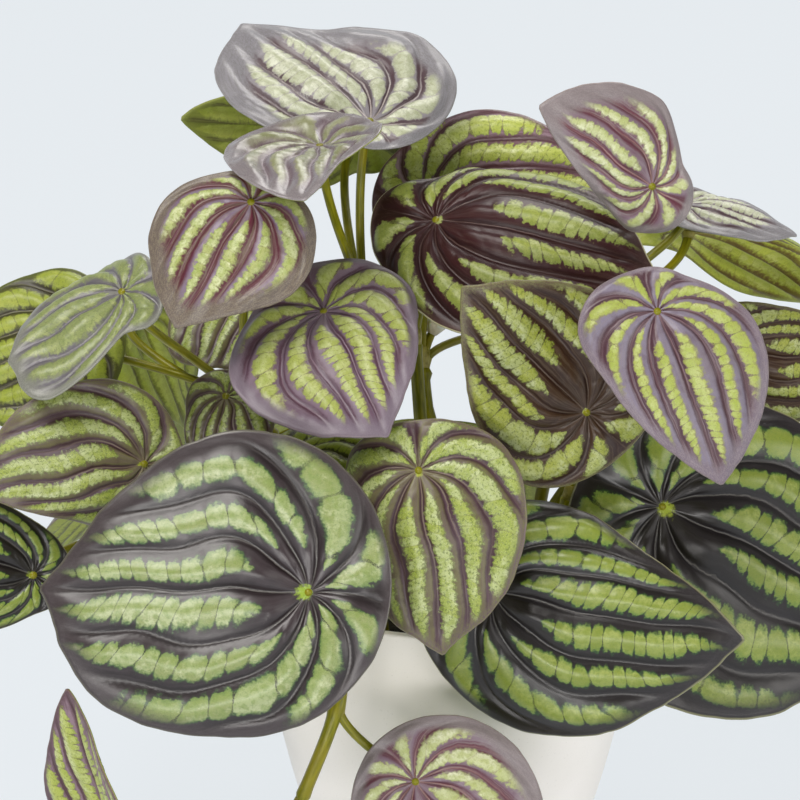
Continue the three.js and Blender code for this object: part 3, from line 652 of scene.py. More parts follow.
def slope_of(label, share, a, x, y):
    """How fast the label changes over the flat blade."""
    rows = share[:, 0]
    columns = a[0]
    by_share = [np.gradient(v, rows, axis=0) for v in (x, y, label)]
    by_angle = [np.gradient(v, columns, axis=1) for v in (x, y, label)]
    area = by_share[0] * by_angle[1] - by_share[1] * by_angle[0]
    area = np.where(np.abs(area) < 1e-6, 1e-6, area)
    by_x = (by_share[2] * by_angle[1] - by_angle[2] * by_share[1]) / area
    by_y = (by_angle[2] * by_share[0] - by_share[2] * by_angle[0]) / area
    return np.hypot(by_x, by_y)


def cell_place(fields, band, offsets, count):
    """How far along a band of count cells a place is: whole numbers are the lines between cells."""
    across = fields["label"] - band - 0.5
    outwards = np.where(band + 0.5 > 0, 1.0, -1.0)
    offset = offsets[band.astype(int) % 10]
    along = count * fields["along"] ** CELL_CROWDING + offset
    along = along + CELL_UNEVEN * np.sin(2.3 * along + 4 * offset)
    return along - CELL_SLANT * (0.3 + 1.4 * offset) * outwards * across


def relief(leaf, fields, draw, offsets):
    """How far the upper face stands above the plain curved blade."""
    share = fields["share"]
    label = fields["label"]
    from_vein = np.abs(label - np.round(label))
    open_part = smooth(share, 0.04, 0.25) * (1 - smooth(share, 0.84, 1.0))
    swell = SWELL * (1 - np.cos(TAU * from_vein)) / 2 * smooth(fields["spacing"], 3, 12)
    distance = from_vein * fields["spacing"]
    groove = GROOVE * np.exp(-((distance / GROOVE_WIDTH) ** 2))
    cell = cell_place(fields, np.floor(label), offsets, look_named(leaf["look"])["count"])
    line = np.abs(cell - np.round(cell))
    pucker = PUCKER * np.exp(-((line / 0.16) ** 2)) * smooth(from_vein, 0.12, 0.35)
    creases = CREASE * np.exp(-((from_vein / 0.14) ** 2)) * (1 - smooth(share, 0.08, CREASE_END))
    ruffle = np.zeros_like(share)
    for turns in RUFFLE_TURNS:
        size = draw.uniform(0.5, 1.0) * RUFFLE_TURNS[0] / turns
        ruffle = ruffle + size * np.sin(turns * fields["angle"] + draw.uniform(0, TAU))
    dents = DENTS * waves(draw, fields["x"], fields["y"], 6, 0.45) * smooth(share, 0.05, 0.4)
    flat_hub = smooth(share, 0.02, 0.1)
    return open_part * (swell - groove - pucker) - creases * flat_hub + RUFFLE * ruffle * share**3 + dents


def corner_values(grid, rings, sides):
    """A grid's values at the corners of the quads between its rings."""
    corners = [grid[:-1, :-1], grid[1:, :-1], grid[1:, 1:], grid[:-1, 1:]]
    return np.stack([c[: rings - 1, :sides].ravel() for c in corners], axis=-1)


def hub_values(grid):
    """A grid's values at the corners of the triangles round the hub."""
    middle = (grid[0, :-1] + grid[0, 1:]) / 2
    return np.stack([middle, grid[0, :-1], grid[0, 1:]], axis=-1)


def blade_maps(corners, reach, offsets, count, seed_place):
    """The maps from values at face corners. flat is in centimetres, apart from the other leaves' places."""
    band = np.floor(corners["label"].mean(axis=-1, keepdims=True)) + 0 * corners["label"]
    cell = cell_place(corners, band, offsets, count)
    flat = [corners["x"] * reach / 10 + seed_place, corners["y"] * reach / 10 + seed_place / 2]
    return {
        "band": np.stack([corners["label"], corners["share"]], axis=-1),
        "cell": np.stack([cell, corners["spacing"] / 10], axis=-1),
        "flat": np.stack(flat, axis=-1),
        "way": np.stack([corners["along"], corners["share"]], axis=-1),
    }


PEG_HEAD = {"radius": 1.35, "height": 0.5, "sunk": 0.25, "sides": 20, "rings": 5}


def add_peg_head(shape, hub, up):
    """The rounded end of the peg, which stands out of the upper face at the hub and has the hub's colour."""
    rise = np.linspace(0, math.pi / 2 * 0.92, PEG_HEAD["rings"])
    height = PEG_HEAD["height"] * np.sin(rise) - PEG_HEAD["sunk"]
    profile = np.stack([PEG_HEAD["radius"] * np.cos(rise), height], axis=-1)
    add_turned(shape, profile, hub, up, UPPER, PEG_HEAD["sides"])


def blade_sheets(leaf, fields, reach, draw, offsets):
    """The upper face, the underside and the line round the cut edge, in the blade's own axes."""
    x = fields["x"][:, :-1]
    y = fields["y"][:, :-1]
    normal = surface_normal(leaf, x, y)
    height = relief(leaf, fields, draw, offsets)[:, :-1, None]
    upper = surface(leaf, x, y) * reach + normal * height
    lower = upper - normal * BLADE
    outwards = unit(np.cross(np.roll(upper[-1], -1, 0) - upper[-1], normal[-1]))
    rim = (upper[-1] + lower[-1]) / 2 + outwards * RIM_ROUND
    return upper, lower, rim


def face_maps(leaf, fields, reach, offsets, number):
    """The maps of the quads, of the triangles round the hub and of the strips at the cut edge."""
    rings, sides = DETAIL[leaf["detail"]]
    quads = {key: corner_values(grid, rings, sides) for key, grid in fields.items()}
    fans = {key: hub_values(grid) for key, grid in fields.items()}
    for key in ("share", "x", "y", "along"):
        fans[key][:, 0] = 0
    count = look_named(leaf["look"])["count"]
    seed_place = PRINT_STEP * (1 + number)
    quad_maps, fan_maps = (blade_maps(v, reach, offsets, count, seed_place) for v in (quads, fans))
    edge_maps = {key: np.stack([v[-sides:, 1], v[-sides:, 1], v[-sides:, 2], v[-sides:, 2]], axis=1)
                 for key, v in quad_maps.items()}
    return quad_maps, fan_maps, edge_maps


def reversed_maps(maps):
    return {key: values[:, ::-1] for key, values in maps.items()}


def fan_faces(centre, first, sides):
    """Triangles between a point and a closed row."""
    j = np.arange(sides)
    return np.stack([np.full(sides, centre), first + j, first + (j + 1) % sides], axis=-1)


def strip_faces(inner, outer, sides):
    """Quads between two closed rows."""
    j = np.arange(sides)
    after = (j + 1) % sides
    return np.stack([inner + j, outer + j, outer + after, inner + after], axis=-1)


def make_leaf(name, number):
    """A blade with its two faces, its cut edge and the head of its peg."""
    leaf = leaf_named(name)
    draw = np.random.default_rng(LEAF_SEED + number)
    turn, reach = placing(leaf)
    rings, sides = DETAIL[leaf["detail"]]
    fields = blade_fields(leaf, draw, reach, rings, sides)
    offsets = draw.uniform(0, 1, 10)
    upper, lower, rim = blade_sheets(leaf, fields, reach, draw, offsets)
    quad_maps, fan_maps, edge_maps = face_maps(leaf, fields, reach, offsets, number)
    hub = np.array(leaf["hub"], float)
    up = turn[:, 2]
    last = (rings - 1) * sides

    shape = Shape("band", "cell", "flat", "way")
    top_hub = shape.add_points(hub)
    top = shape.add_points(hub + upper.reshape(-1, 3) @ turn.T)
    under_hub = shape.add_points(hub - up * BLADE)
    under = shape.add_points(hub + lower.reshape(-1, 3) @ turn.T)
    middle = shape.add_points(hub + rim @ turn.T)
    shape.add_faces(fan_faces(top_hub, top, sides), UPPER, **fan_maps)
    shape.add_faces(grid_faces(top, rings, sides), UPPER, **quad_maps)
    shape.add_faces(fan_faces(under_hub, under, sides)[:, ::-1], UNDER, **reversed_maps(fan_maps))
    shape.add_faces(grid_faces(under, rings, sides)[:, ::-1], UNDER, **reversed_maps(quad_maps))
    shape.add_faces(strip_faces(top + last, middle, sides), UPPER, **edge_maps)
    shape.add_faces(strip_faces(middle, under + last, sides), UNDER, **edge_maps)
    add_peg_head(shape, hub, up)
    materials = [leaf_material(leaf["look"]), leaf_material(leaf["back"])]
    piece = shape.piece("blade_" + name, materials)
    dress(piece, "leaf_" + name)


# Node materials

def linear(text):
    """A linear colour with alpha from six hexadecimal digits of sRGB."""
    parts = [int(text[i : i + 2], 16) / 255 for i in (0, 2, 4)]
    return (*(v / 12.92 if v <= 0.04045 else ((v + 0.055) / 1.055) ** 2.4 for v in parts), 1.0)


class Graph:
    """A material's nodes, made by short calls. A value is a number, a colour or another node's output."""

    def __init__(self, name):
        self.material = bpy.data.materials.new(name)
        self.material.use_nodes = True
        self.tree = self.material.node_tree
        self.tree.nodes.clear()
        self.shader = self.node("BsdfPrincipled")
        self.node("OutputMaterial", self.shader.outputs["BSDF"])

    def put(self, value, socket):
        if isinstance(value, bpy.types.NodeSocket):
            self.tree.links.new(value, socket)
        else:
            socket.default_value = value

    def node(self, kind, *values, **named):
        """A new node whose inputs are filled by these values, in order or by name."""
        node = self.tree.nodes.new("ShaderNode" + kind)
        for key, value in [*enumerate(values), *named.items()]:
            self.put(value, node.inputs[key])
        return node

    def math(self, operation, *values):
        node = self.node("Math", *values)
        node.operation = operation
        return node.outputs[0]

    def affine(self, value, scale, offset):
        return self.math("MULTIPLY_ADD", value, scale, offset)

    def times(self, first, second):
        return self.math("MULTIPLY", first, second)

    def plus(self, first, second):
        return self.math("ADD", first, second)

    def minus(self, first, second):
        return self.math("SUBTRACT", first, second)

    def ramp(self, value, low, high, to_low=0.0, to_high=1.0):
        """A smooth step from to_low at low to to_high at high. Low may be above high."""
        node = self.node("MapRange", value, low, high, to_low, to_high)
        node.interpolation_type = "SMOOTHSTEP"
        return node.outputs[0]

    def blend(self, factor, first, second):
        node = self.node("Mix", factor)
        node.data_type = "RGBA"
        self.put(first, node.inputs[6])
        self.put(second, node.inputs[7])
        return node.outputs[2]

    def over(self, color, value, low, high, strength, other):
        """Lays the other colour over this one, from nothing at low to strength at high."""
        return self.blend(self.ramp(value, low, high, 0.0, strength), color, other)

    def uv(self, name):
        node = self.node("UVMap")
        node.uv_map = name
        return node.outputs[0]

    def place(self):
        return self.node("TexCoord").outputs["Object"]

    def split(self, vector):
        return self.node("SeparateXYZ", vector).outputs[:2]

    def pair(self, x, y):
        return self.node("CombineXYZ", x, y).outputs[0]

    def scaled(self, vector, *scale):
        return self.node("Mapping", Vector=vector, Scale=scale).outputs[0]

    def noise(self, vector, scale, detail=2.0, rough=0.5):
        node = self.node("TexNoise", Vector=vector, Scale=scale, Detail=detail, Roughness=rough)
        return node.outputs[0]

    def random(self, value):
        node = self.node("TexWhiteNoise")
        node.noise_dimensions = "1D"
        self.put(value, node.inputs["W"])
        return node.outputs["Value"]

    def bump(self, height, strength, distance):
        node = self.node("Bump", Strength=strength, Distance=distance, Height=height)
        self.put(node.outputs[0], self.shader.inputs["Normal"])

    def finish(self, color, roughness, specular=0.5):
        self.put(color, self.shader.inputs["Base Color"])
        self.put(roughness, self.shader.inputs["Roughness"])
        self.shader.inputs["Specular IOR Level"].default_value = specular
        return self.material


# Noise over a flat blade, as repeats in a centimetre and detail: broad, coarse, fine and grain
PRINT_NOISE = ((0.7, 2), (2.4, 3), (9, 3), (26, 2))


class LeafPrint:
    """A blade's printed face: its bands and cells, the green, the ground and what lies over both."""

    def __init__(self, name, look):
        self.g = Graph(name)
        self.look = look
        self.tone = {key: linear(value) for key, value in look.items() if isinstance(value, str)}
        self.flat = self.g.uv("flat")
        noises = [self.g.noise(self.flat, scale, detail) for scale, detail in PRINT_NOISE]
        self.broad, self.coarse, self.fine, self.grain = noises
        self.sides = (0.35 + look["shift"], 0.65 + look["shift"])
        self.find_place()
        self.find_green()

    def find_place(self):
        """Where a place is in its band and its cell, and how far from the nearest vein and cell line."""
        g = self.g
        label, self.share = g.split(g.uv("band"))
        cell, spacing = g.split(g.uv("cell"))
        self.along = g.split(g.uv("way"))[0]
        self.label = g.plus(label, g.affine(self.coarse, 0.14, -0.07))
        self.cell = g.plus(cell, g.affine(self.coarse, 0.24, -0.12))
        self.across = g.math("FRACT", self.label)
        self.from_vein = g.math("PINGPONG", self.label, 0.5)
        self.from_line = g.math("PINGPONG", self.cell, 0.5)
        self.vein_gap = g.times(g.times(self.from_vein, spacing), 10.0)

    def find_green(self):
        """How far inside the green's ragged edge a place is, in bands."""
        g = self.g
        look = self.look
        middle = g.affine(self.broad, BAND_WANDER, 0.5 + look["shift"] - BAND_WANDER / 2)
        from_middle = g.math("ABSOLUTE", g.minus(self.across, middle))
        own_band = g.random(g.math("FLOOR", self.label))
        opened = g.ramp(g.affine(own_band, 0.16, g.minus(self.share, 0.06)), *look["start"])
        closed = g.ramp(self.along, *look["end"], 1.0, look["last"])
        near, far = look["margin_at"]
        closed = g.times(closed, g.ramp(self.share, near - 0.05, far, 1.0, 0.3))
        own = g.affine(own_band, 0.35, g.affine(self.broad, 0.5, 0.6))
        width = g.times(g.times(opened, closed), g.times(own, look["width"]))
        width = g.times(width, g.ramp(self.from_line, 0.0, 0.22, 1 - look["scallop"], 1.0))
        ragged = g.affine(self.fine, look["ragged"], -look["ragged"] / 2)
        inside = g.plus(g.minus(width, from_middle), ragged)
        self.inside = g.minus(inside, g.ramp(opened, 0.25, 0.0, 0.0, 0.3))

    def cell_lines(self):
        """The lines between cells, wider at the green's edge and broken by the noise."""
        g = self.g
        look = self.look
        tooth = g.ramp(self.inside, 0.16, 0.0, 0.005, 0.005 + look["teeth"])
        line_width = g.affine(self.fine, 0.07, tooth)
        line = g.ramp(self.from_line, line_width, g.times(line_width, 0.4))
        line = g.times(line, g.ramp(self.broad, 0.3, 0.55, look["cells"] * 0.5, look["cells"]))
        line = g.times(line, g.ramp(self.grain, 0.42, 0.56, 0.4, 1.0))
        return g.times(line, g.ramp(self.across, *self.sides, 1.0, 1 - 0.6 * look["one_sided"]))

    def green(self, line):
        """Each cell's own green, purer to one side, with grain, a darker rim and the lines between cells."""
        g = self.g
        look = self.look
        tone = self.tone
        cell_number = g.affine(g.math("FLOOR", self.label), 17.0, g.math("FLOOR", self.cell))
        own_cell = g.affine(g.random(cell_number), 0.4, -0.2)
        patchy = g.plus(g.times(self.coarse, 0.6), g.affine(self.fine, 0.4, own_cell))
        to_side = g.affine(self.fine, 0.4, g.minus(self.across, own_cell))
        green = g.blend(g.ramp(patchy, 0.38, 0.6), tone["green"], tone["pale"])
        green = g.over(green, to_side, 0.95, 0.5, look["tilt"], tone["mid"])
        green = g.over(green, g.noise(self.flat, 4.5, 3), 0.48, 0.6, 0.6, tone["mid"])
        green = g.over(green, self.inside, 0.1, 0.0, 0.75, tone["deep"])
        green = g.over(green, g.noise(self.flat, 12, 3), 0.5, 0.68, look["speckle"], tone["deep"])
        green = g.over(green, g.noise(self.flat, 30, 2), 0.54, 0.7, look["flecks"], tone["pale"])
        green = g.over(green, self.grain, 0.64, 0.76, 0.5 * look["speckle"], tone["line"])
        return g.blend(line, green, tone["line"])

    def ground(self):
        """The ground between the veins and the green, with stripes along the veins and a patchy halo."""
        g = self.g
        look = self.look
        tone = self.tone
        # The two sides of a band's ground differ: the lighter side is partly print and partly painted sheen
        side = g.ramp(self.across, 0.42 + look["shift"], 0.58 + look["shift"])
        flank = g.blend(g.times(side, look["one_sided"]), tone["flank"], tone["other"])
        from_rib = g.plus(self.from_vein, g.affine(self.fine, 0.06, -0.03))
        ground = g.blend(g.ramp(from_rib, *look["vein_span"]), tone["vein"], flank)
        ground = g.over(ground, self.coarse, 0.45, 0.7, 0.35, tone["vein"])
        ground = g.over(ground, self.grain, 0.6, 0.72, 0.2, tone["streak"])
        lengthwise = g.pair(g.times(self.label, STRIPES), g.times(self.along, STRIPES / 3))
        ground = g.over(ground, g.noise(lengthwise, 1.0, 2), 0.46, 0.64, look["stripe"], tone["streak"])
        patches = g.ramp(self.coarse, 0.4, 0.6, 0.15, 0.8)
        halo = g.times(g.ramp(self.inside, -look["halo_width"], -0.01), patches)
        return g.blend(halo, ground, tone["halo"])

    def overlay(self, color):
        """The vein lines (print and painted highlight), the margin, the hub, the cut edge and a grain over
        all of it.
        """
        g = self.g
        look = self.look
        tone = self.tone
        # The pale line along each vein is partly print and partly a painted highlight on the vein's crease
        thread = g.times(g.ramp(self.vein_gap, 0.36, 0.12), g.ramp(self.share, 0.75, 0.2, 0.25, 1.0))
        color = g.blend(g.times(thread, look["threads"]), color, tone["thread"])
        streaks = g.noise(g.scaled(g.uv("band"), 14.0, 60.0, 1.0), 1.0, 2)
        streaks = g.affine(streaks, 0.5, g.times(self.grain, 0.5))
        margin = g.blend(g.ramp(streaks, 0.44, 0.58), tone["margin"], tone["streak"])
        outer = g.plus(self.share, g.affine(self.fine, 0.06, -0.03))
        color = g.blend(g.ramp(outer, *look["margin_at"]), color, margin)
        hub_edge = g.plus(self.share, g.affine(self.fine, 0.07, -0.035))
        color = g.blend(g.ramp(hub_edge, look["hub_size"], look["hub_size"] * 0.5), color, tone["hub"])
        color = g.over(color, self.share, 0.99, 0.998, look["edge_show"], tone["edge"])
        color = g.over(color, g.noise(self.flat, 60, 2), 0.5, 0.66, 0.3, tone["vein"])
        return g.over(color, g.noise(self.flat, 45, 2), 0.56, 0.68, 0.2, tone["streak"])

    def material(self):
        """The face put together, with a slight relief and the lines between cells pressed in."""
        g = self.g
        look = self.look
        line = self.cell_lines()
        soft = g.ramp(self.across, *self.sides, look["soft"] * 0.7, look["soft"] * (1 + look["one_sided"]))
        green_share = g.ramp(self.inside, g.times(soft, -1.0), soft)
        color = self.overlay(g.blend(green_share, self.ground(), self.green(line)))
        roughness = g.affine(self.coarse, 0.14, look["rough"] - 0.07)
        height = g.minus(g.affine(self.fine, 0.6, self.grain), g.times(line, 0.8))
        g.bump(height, 0.05, 0.0004)
        return g.finish(color, roughness, look["specular"])


def leaf_material(look_name):
    """The printed face of a blade, made once for each look."""
    name = "leaf_face_" + look_name
    return bpy.data.materials.get(name) or LeafPrint(name, look_named(look_name)).material()


def stem_material():
    """Olive moulded plastic with faint lengthwise streaks."""
    g = Graph("stem_green")
    along = g.uv("along")
    streaks = g.noise(g.scaled(along, 0.8, 9.0, 1.0), 1.5, 3)
    patches = g.noise(g.place(), 60, 2)
    color = g.blend(g.ramp(streaks, 0.35, 0.65), linear("6c6b08"), linear("8c8814"))
    color = g.over(color, patches, 0.5, 0.72, 0.6, linear("988a24"))
    fine = g.noise(g.place(), 1500, 2)
    g.bump(g.affine(fine, 0.4, streaks), 0.3, 0.0004)
    return g.finish(color, g.affine(fine, 0.15, 0.28), 0.35)


def joint_material():
    """The yellowish-brown collars and swollen joints."""
    g = Graph("stem_joint")
    mottle = g.noise(g.place(), 500, 3)
    color = g.blend(g.ramp(mottle, 0.35, 0.65), linear("7f7628"), linear("a69a50"))
    g.bump(mottle, 0.3, 0.0004)
    return g.finish(color, g.affine(mottle, 0.2, 0.35))


def lump_material():
    """The cream lump, made near white as a painted glow of light through the plastic, with faint pinkish
    clouds and greenish spots.
    """
    g = Graph("stem_lump")
    clouds = g.noise(g.place(), 420, 3)
    spots = g.noise(g.place(), 1300, 2)
    # Near white rather than cream: painted glow of light shining through the plastic
    color = g.blend(g.ramp(clouds, 0.38, 0.62), linear("fffdf6"), linear("f6e8d6"))
    color = g.over(color, spots, 0.6, 0.72, 0.4, linear("d8d8b0"))
    g.bump(clouds, 0.4, 0.0005)
    return g.finish(color, g.affine(spots, 0.2, 0.4))


def pot_material():
    """Matte off-white, with a very fine tooth and faint clouds."""
    g = Graph("pot_white")
    clouds = g.noise(g.place(), 18, 3)
    tooth = g.noise(g.place(), 1400, 2)
    color = g.blend(g.ramp(clouds, 0.35, 0.65), linear("f5f0ec"), linear("f0ebe6"))
    color = g.over(color, tooth, 0.66, 0.74, 0.25, linear("c3beb6"))
    g.bump(tooth, 0.12, 0.0003)
    return g.finish(color, g.affine(clouds, 0.12, 0.46), 0.4)


def fill_material():
    """Near-black crumbs with a few brown ones."""
    g = Graph("fill_dark")
    lumps = g.noise(g.place(), 260, 4, 0.7)
    spots = g.noise(g.place(), 700, 2)
    color = g.blend(g.ramp(lumps, 0.35, 0.7), linear("0e0c0b"), linear("2c241d"))
    color = g.over(color, spots, 0.62, 0.72, 0.7, linear("4a3c2e"))
    g.bump(lumps, 0.8, 0.001)
    return g.finish(color, g.affine(spots, 0.2, 0.75), 0.3)


# Stems

GREEN_SLOT, JOINT_SLOT, LUMP_SLOT = 0, 1, 2
TUBE_SIDES, COLLAR_SIDES, PEG_SIDES = 14, 18, 12
STEM_POINTS, PETIOLE_POINTS = 40, 22

# Profiles of the collar and the peg, as radius and height over the collar's top, and the radii of the sleeve
# at a petiole's foot
COLLAR = [(1.5, -2.0), (2.0, -2.4), (2.2, -1.6), (2.4, -0.8), (2.65, -0.2), (2.5, 0.0), (1.2, 0.05)]
PEG = [(1.2, -0.5), (1.2, BLADE + GAP + 0.3)]
SLEEVE = (2.1, 2.3, 2.2, 1.7)

# A stem swells where a petiole leaves it, by this much and over this share of its line. TAPER is how much
# thinner its end is, and the other two how much thicker a petiole is at its foot and at its collar.
JOINT_SWELL, JOINT_SPREAD = 0.75, 0.025
TAPER, FOOT_SWELL, HEAD_SWELL = 0.55, 0.3, 0.15

# A pale blunt lump round one petiole: its stem and leaf, the points of the petiole's line that it covers, and
# its radii there. A short tongue of it points to the right.
LUMP = {"stem": "back", "leaf": "back_top", "points": slice(5, 9), "radii": (1.9, 3.6, 4.2, 2.6)}
TONGUE = {"way": (0.93, -0.1, 0.2), "length": 5.2, "radii": (2.6, 2.3, 1.8, 0.9)}


def hermite(points, t):
    """A centripetal Catmull-Rom curve through the points, with t from 0 to 1."""
    points = np.asarray(points, float)
    place = min(t, 1 - 1e-9) * (len(points) - 1)
    i = int(place)
    w = place - i
    p1 = points[i]
    p2 = points[i + 1]
    p0 = points[i - 1] if i > 0 else 2 * p1 - p2
    p3 = points[i + 2] if i + 2 < len(points) else 2 * p2 - p1
    steps = [max(np.linalg.norm(b - a), 1e-9) ** 0.5 for a, b in ((p0, p1), (p1, p2), (p2, p3))]
    t1 = (p1 - p0) / steps[0] - (p2 - p0) / (steps[0] + steps[1]) + (p2 - p1) / steps[1]
    t2 = (p2 - p1) / steps[1] - (p3 - p1) / (steps[1] + steps[2]) + (p3 - p2) / steps[2]
    t1 = t1 * steps[1]
    t2 = t2 * steps[1]
    return p1 + w * t1 + w * w * (-3 * p1 + 3 * p2 - 2 * t1 - t2) + w**3 * (2 * p1 - 2 * p2 + t1 + t2)


def stem_line(path):
    return np.array([hermite(path, t) for t in np.linspace(0, 1, STEM_POINTS)])


def way_at(path, share):
    step = 1e-4
    high = min(1.0, share + step)
    low = max(0.0, share - step)
    return unit(hermite(path, high) - hermite(path, low))


def petiole_line(path, share, leaf):
    """From the stem to under the blade's hub, as the solid's petiole goes."""
    turn, _ = placing(leaf)
    up = turn[:, 2]
    way = way_at(path, share)
    start = hermite(path, share) - way * STEM_RADIUS
    under = np.array(leaf["hub"], float) - up * (BLADE + GAP + COLLAR_HEIGHT / 2)
    span = np.linalg.norm(under - start)
    leave = start + way * span * PETIOLE_PULL
    arrive = under - up * span * PETIOLE_PULL
    t = np.linspace(0, 1, PETIOLE_POINTS)[:, None]
    return (1 - t) ** 3 * start + 3 * t * (1 - t) ** 2 * leave + 3 * t * t * (1 - t) * arrive + t**3 * under


def add_tube(shape, line, radii, slot):
    """A round tube along a line of points, closed by a flat face at each end. Its map holds the centimetres
    from its start and the share of the way round."""
    ways = unit(np.gradient(line, axis=0))
    side = unit(np.cross(ways[0], (0.31, 0.17, 0.93)))
    turn = np.linspace(0, TAU, TUBE_SIDES, endpoint=False)
    rings = []
    for point, way, radius in zip(line, ways, radii):
        side = unit(side - np.dot(side, way) * way)
        other = np.cross(way, side)
        rings.append(point + radius * (np.outer(np.cos(turn), side) + np.outer(np.sin(turn), other)))
    steps = np.linalg.norm(np.diff(line, axis=0), axis=1)
    gone = np.concatenate([[0], np.cumsum(steps)]) / 10
    grids = np.meshgrid(gone, np.linspace(0, 1, TUBE_SIDES + 1), indexing="ij")
    maps = np.stack([corner_values(grid, len(line), TUBE_SIDES) for grid in grids], axis=-1)
    shape.add_closed_rows(rings, slot, along=maps[:, ::-1])


def add_turned(shape, profile, foot, up, slot, sides):
    """A closed turned form on an axis through foot. The profile is radius and height, from the bottom up."""
    axes = basis(np.cross(up, (0.3, 0.8, 0.5)), up)
    profile = np.asarray(profile, float)
    turn = np.linspace(0, TAU, sides, endpoint=False)
    shape.add_closed_rows(foot + round_points(profile[:, :1], turn, profile[:, 1:]) @ axes.T, slot)


def add_lump(shape, line):
    """A blunt lump along part of a petiole's line, with its tongue."""
    add_tube(shape, line, LUMP["radii"], LUMP_SLOT)
    steps = np.linspace(0, TONGUE["length"], len(TONGUE["radii"]))[:, None]
    add_tube(shape, line[1] + steps * unit(TONGUE["way"]), TONGUE["radii"], LUMP_SLOT)


def stem_radii(places):
    """A stem's radii along its line, with a swelling at each petiole's place and a thinner end."""
    share = np.linspace(0, 1, STEM_POINTS)
    radii = np.full(STEM_POINTS, float(STEM_RADIUS))
    for place in places:
        radii = radii + JOINT_SWELL * np.exp(-(((share - place) / JOINT_SPREAD) ** 2))
    return radii * (1 - TAPER * smooth(share, 0.985, 1.0))


def petiole_radii():
    t = np.linspace(0, 1, PETIOLE_POINTS)
    return PETIOLE_RADIUS * (1 + FOOT_SWELL * (1 - smooth(t, 0, 0.12)) + HEAD_SWELL * smooth(t, 0.85, 1))


def make_stem(name, materials):
    """A stem with its petioles, and the sleeve, the collar and the peg of each."""
    path, leaves = STEMS[name]
    shape = Shape("along")
    add_tube(shape, stem_line(path), stem_radii(leaves.values()), GREEN_SLOT)
    for leaf_name, place in leaves.items():
        leaf = leaf_named(leaf_name)
        petiole = petiole_line(path, place, leaf)
        add_tube(shape, petiole, petiole_radii(), GREEN_SLOT)
        add_tube(shape, petiole[: len(SLEEVE)], SLEEVE, JOINT_SLOT)
        if (name, leaf_name) == (LUMP["stem"], LUMP["leaf"]):
            add_lump(shape, petiole[LUMP["points"]])
            materials = materials + [lump_material()]
        turn, _ = placing(leaf)
        up = turn[:, 2]
        collar_top = np.array(leaf["hub"], float) - up * (BLADE + GAP)
        add_turned(shape, COLLAR, collar_top, up, JOINT_SLOT, COLLAR_SIDES)
        add_turned(shape, PEG, collar_top, up, GREEN_SLOT, PEG_SIDES)
    dress(shape.piece("sprig_" + name, materials), "stem_" + name)


# Pot and fill

POT_SIDES = 120
LIP, FOOT = 1.0, 1.2

# The fill's mesh: rows and sides of its top and rows of its wall, which starts at FILL_SHOULDER. The top's
# lumps are given as height and pitch, and it is set down by FILL_LOWERED to make up for them.
FILL_ROWS, FILL_SIDES, WALL_ROWS = 44, 132, 8
FILL_SHOULDER = 96
FILL_LUMPS = ((0.9, 9), (0.5, 4))
FILL_LOWERED = 0.6
FILL_SEED = 7

# Loose crumbs: their number, radii and sides, and how far they keep from the wall
CRUMBS = {"count": 620, "radii": (0.5, 1.7), "sides": 6, "inset": 2.5}


def pot_radius(height):
    return RIM_RADIUS - (RIM_RADIUS - BASE_RADIUS) * (1 - height / POT_HEIGHT) ** POT_CURVE


def arc(middle, radius, start, end, count):
    """Points of a profile's rounded corner. Angles are in degrees from outwards to up."""
    turn = np.radians(np.linspace(start, end, count))
    return [(middle[0] + radius * math.cos(t), middle[1] + radius * math.sin(t)) for t in turn]


def make_pot():
    """A turned wall with a rounded lip and foot, and a flat underside."""
    outside = [(pot_radius(z), z) for z in np.linspace(FOOT + 0.6, POT_HEIGHT - LIP, 30)]
    inside = [(pot_radius(z) - WALL, z) for z in np.linspace(POT_HEIGHT - LIP, FLOOR + 2, 20)]
    lip = arc((RIM_RADIUS - LIP, POT_HEIGHT - LIP), LIP, 12, 90, 6)
    lip += arc((RIM_RADIUS - WALL + LIP, POT_HEIGHT - LIP), LIP, 90, 168, 6)
    bottom = [(0.01, 0), (BASE_RADIUS - FOOT, 0)] + arc((BASE_RADIUS - FOOT, FOOT), FOOT, -70, -15, 4)
    floor = [(BASE_RADIUS - WALL - 1, FLOOR), (0.01, FLOOR)]
    shape = Shape()
    profile = bottom + outside + lip + inside + floor
    add_turned(shape, profile, np.zeros(3), np.array((0, 0, 1.0)), 0, POT_SIDES)
    dress(shape.piece("pot_body", [pot_material()]), "pot")


def fill_radius(height):
    return pot_radius(height) - WALL - GAP


def fill_height(share):
    return POT_HEIGHT - FILL_BELOW_RIM + FILL_MOUND * (1 - share * share)


def make_fill():
    """The dark fill: a lumpy mound that reaches the wall, with loose crumbs pressed into it."""
    draw = np.random.default_rng(FILL_SEED)
    outer = fill_radius(POT_HEIGHT - FILL_BELOW_RIM)
    share = np.linspace(0.01, 1, FILL_ROWS)[:, None]
    turn = np.linspace(0, TAU, FILL_SIDES, endpoint=False)
    top = round_points(outer * share, turn, fill_height(share) - FILL_LOWERED)
    lumps = sum(height * waves(draw, top[..., 0], top[..., 1], 14, pitch) for height, pitch in FILL_LUMPS)
    top[..., 2] += lumps * (1 - share**8)
    height = np.linspace(FILL_SHOULDER, FLOOR + GAP, WALL_ROWS)[:, None]
    wall = round_points(fill_radius(height), turn, height)
    shape = Shape()
    first = shape.add_points(np.concatenate([top, wall]))
    total = FILL_ROWS + WALL_ROWS
    shape.add_faces(grid_faces(first, total, FILL_SIDES))
    shape.add_faces([first + np.arange(FILL_SIDES)])
    shape.add_faces([first + (total - 1) * FILL_SIDES + np.arange(FILL_SIDES)[::-1]])
    add_crumbs(shape, draw, outer)
    dress(shape.piece("fill_mound", [fill_material()]), "fill")


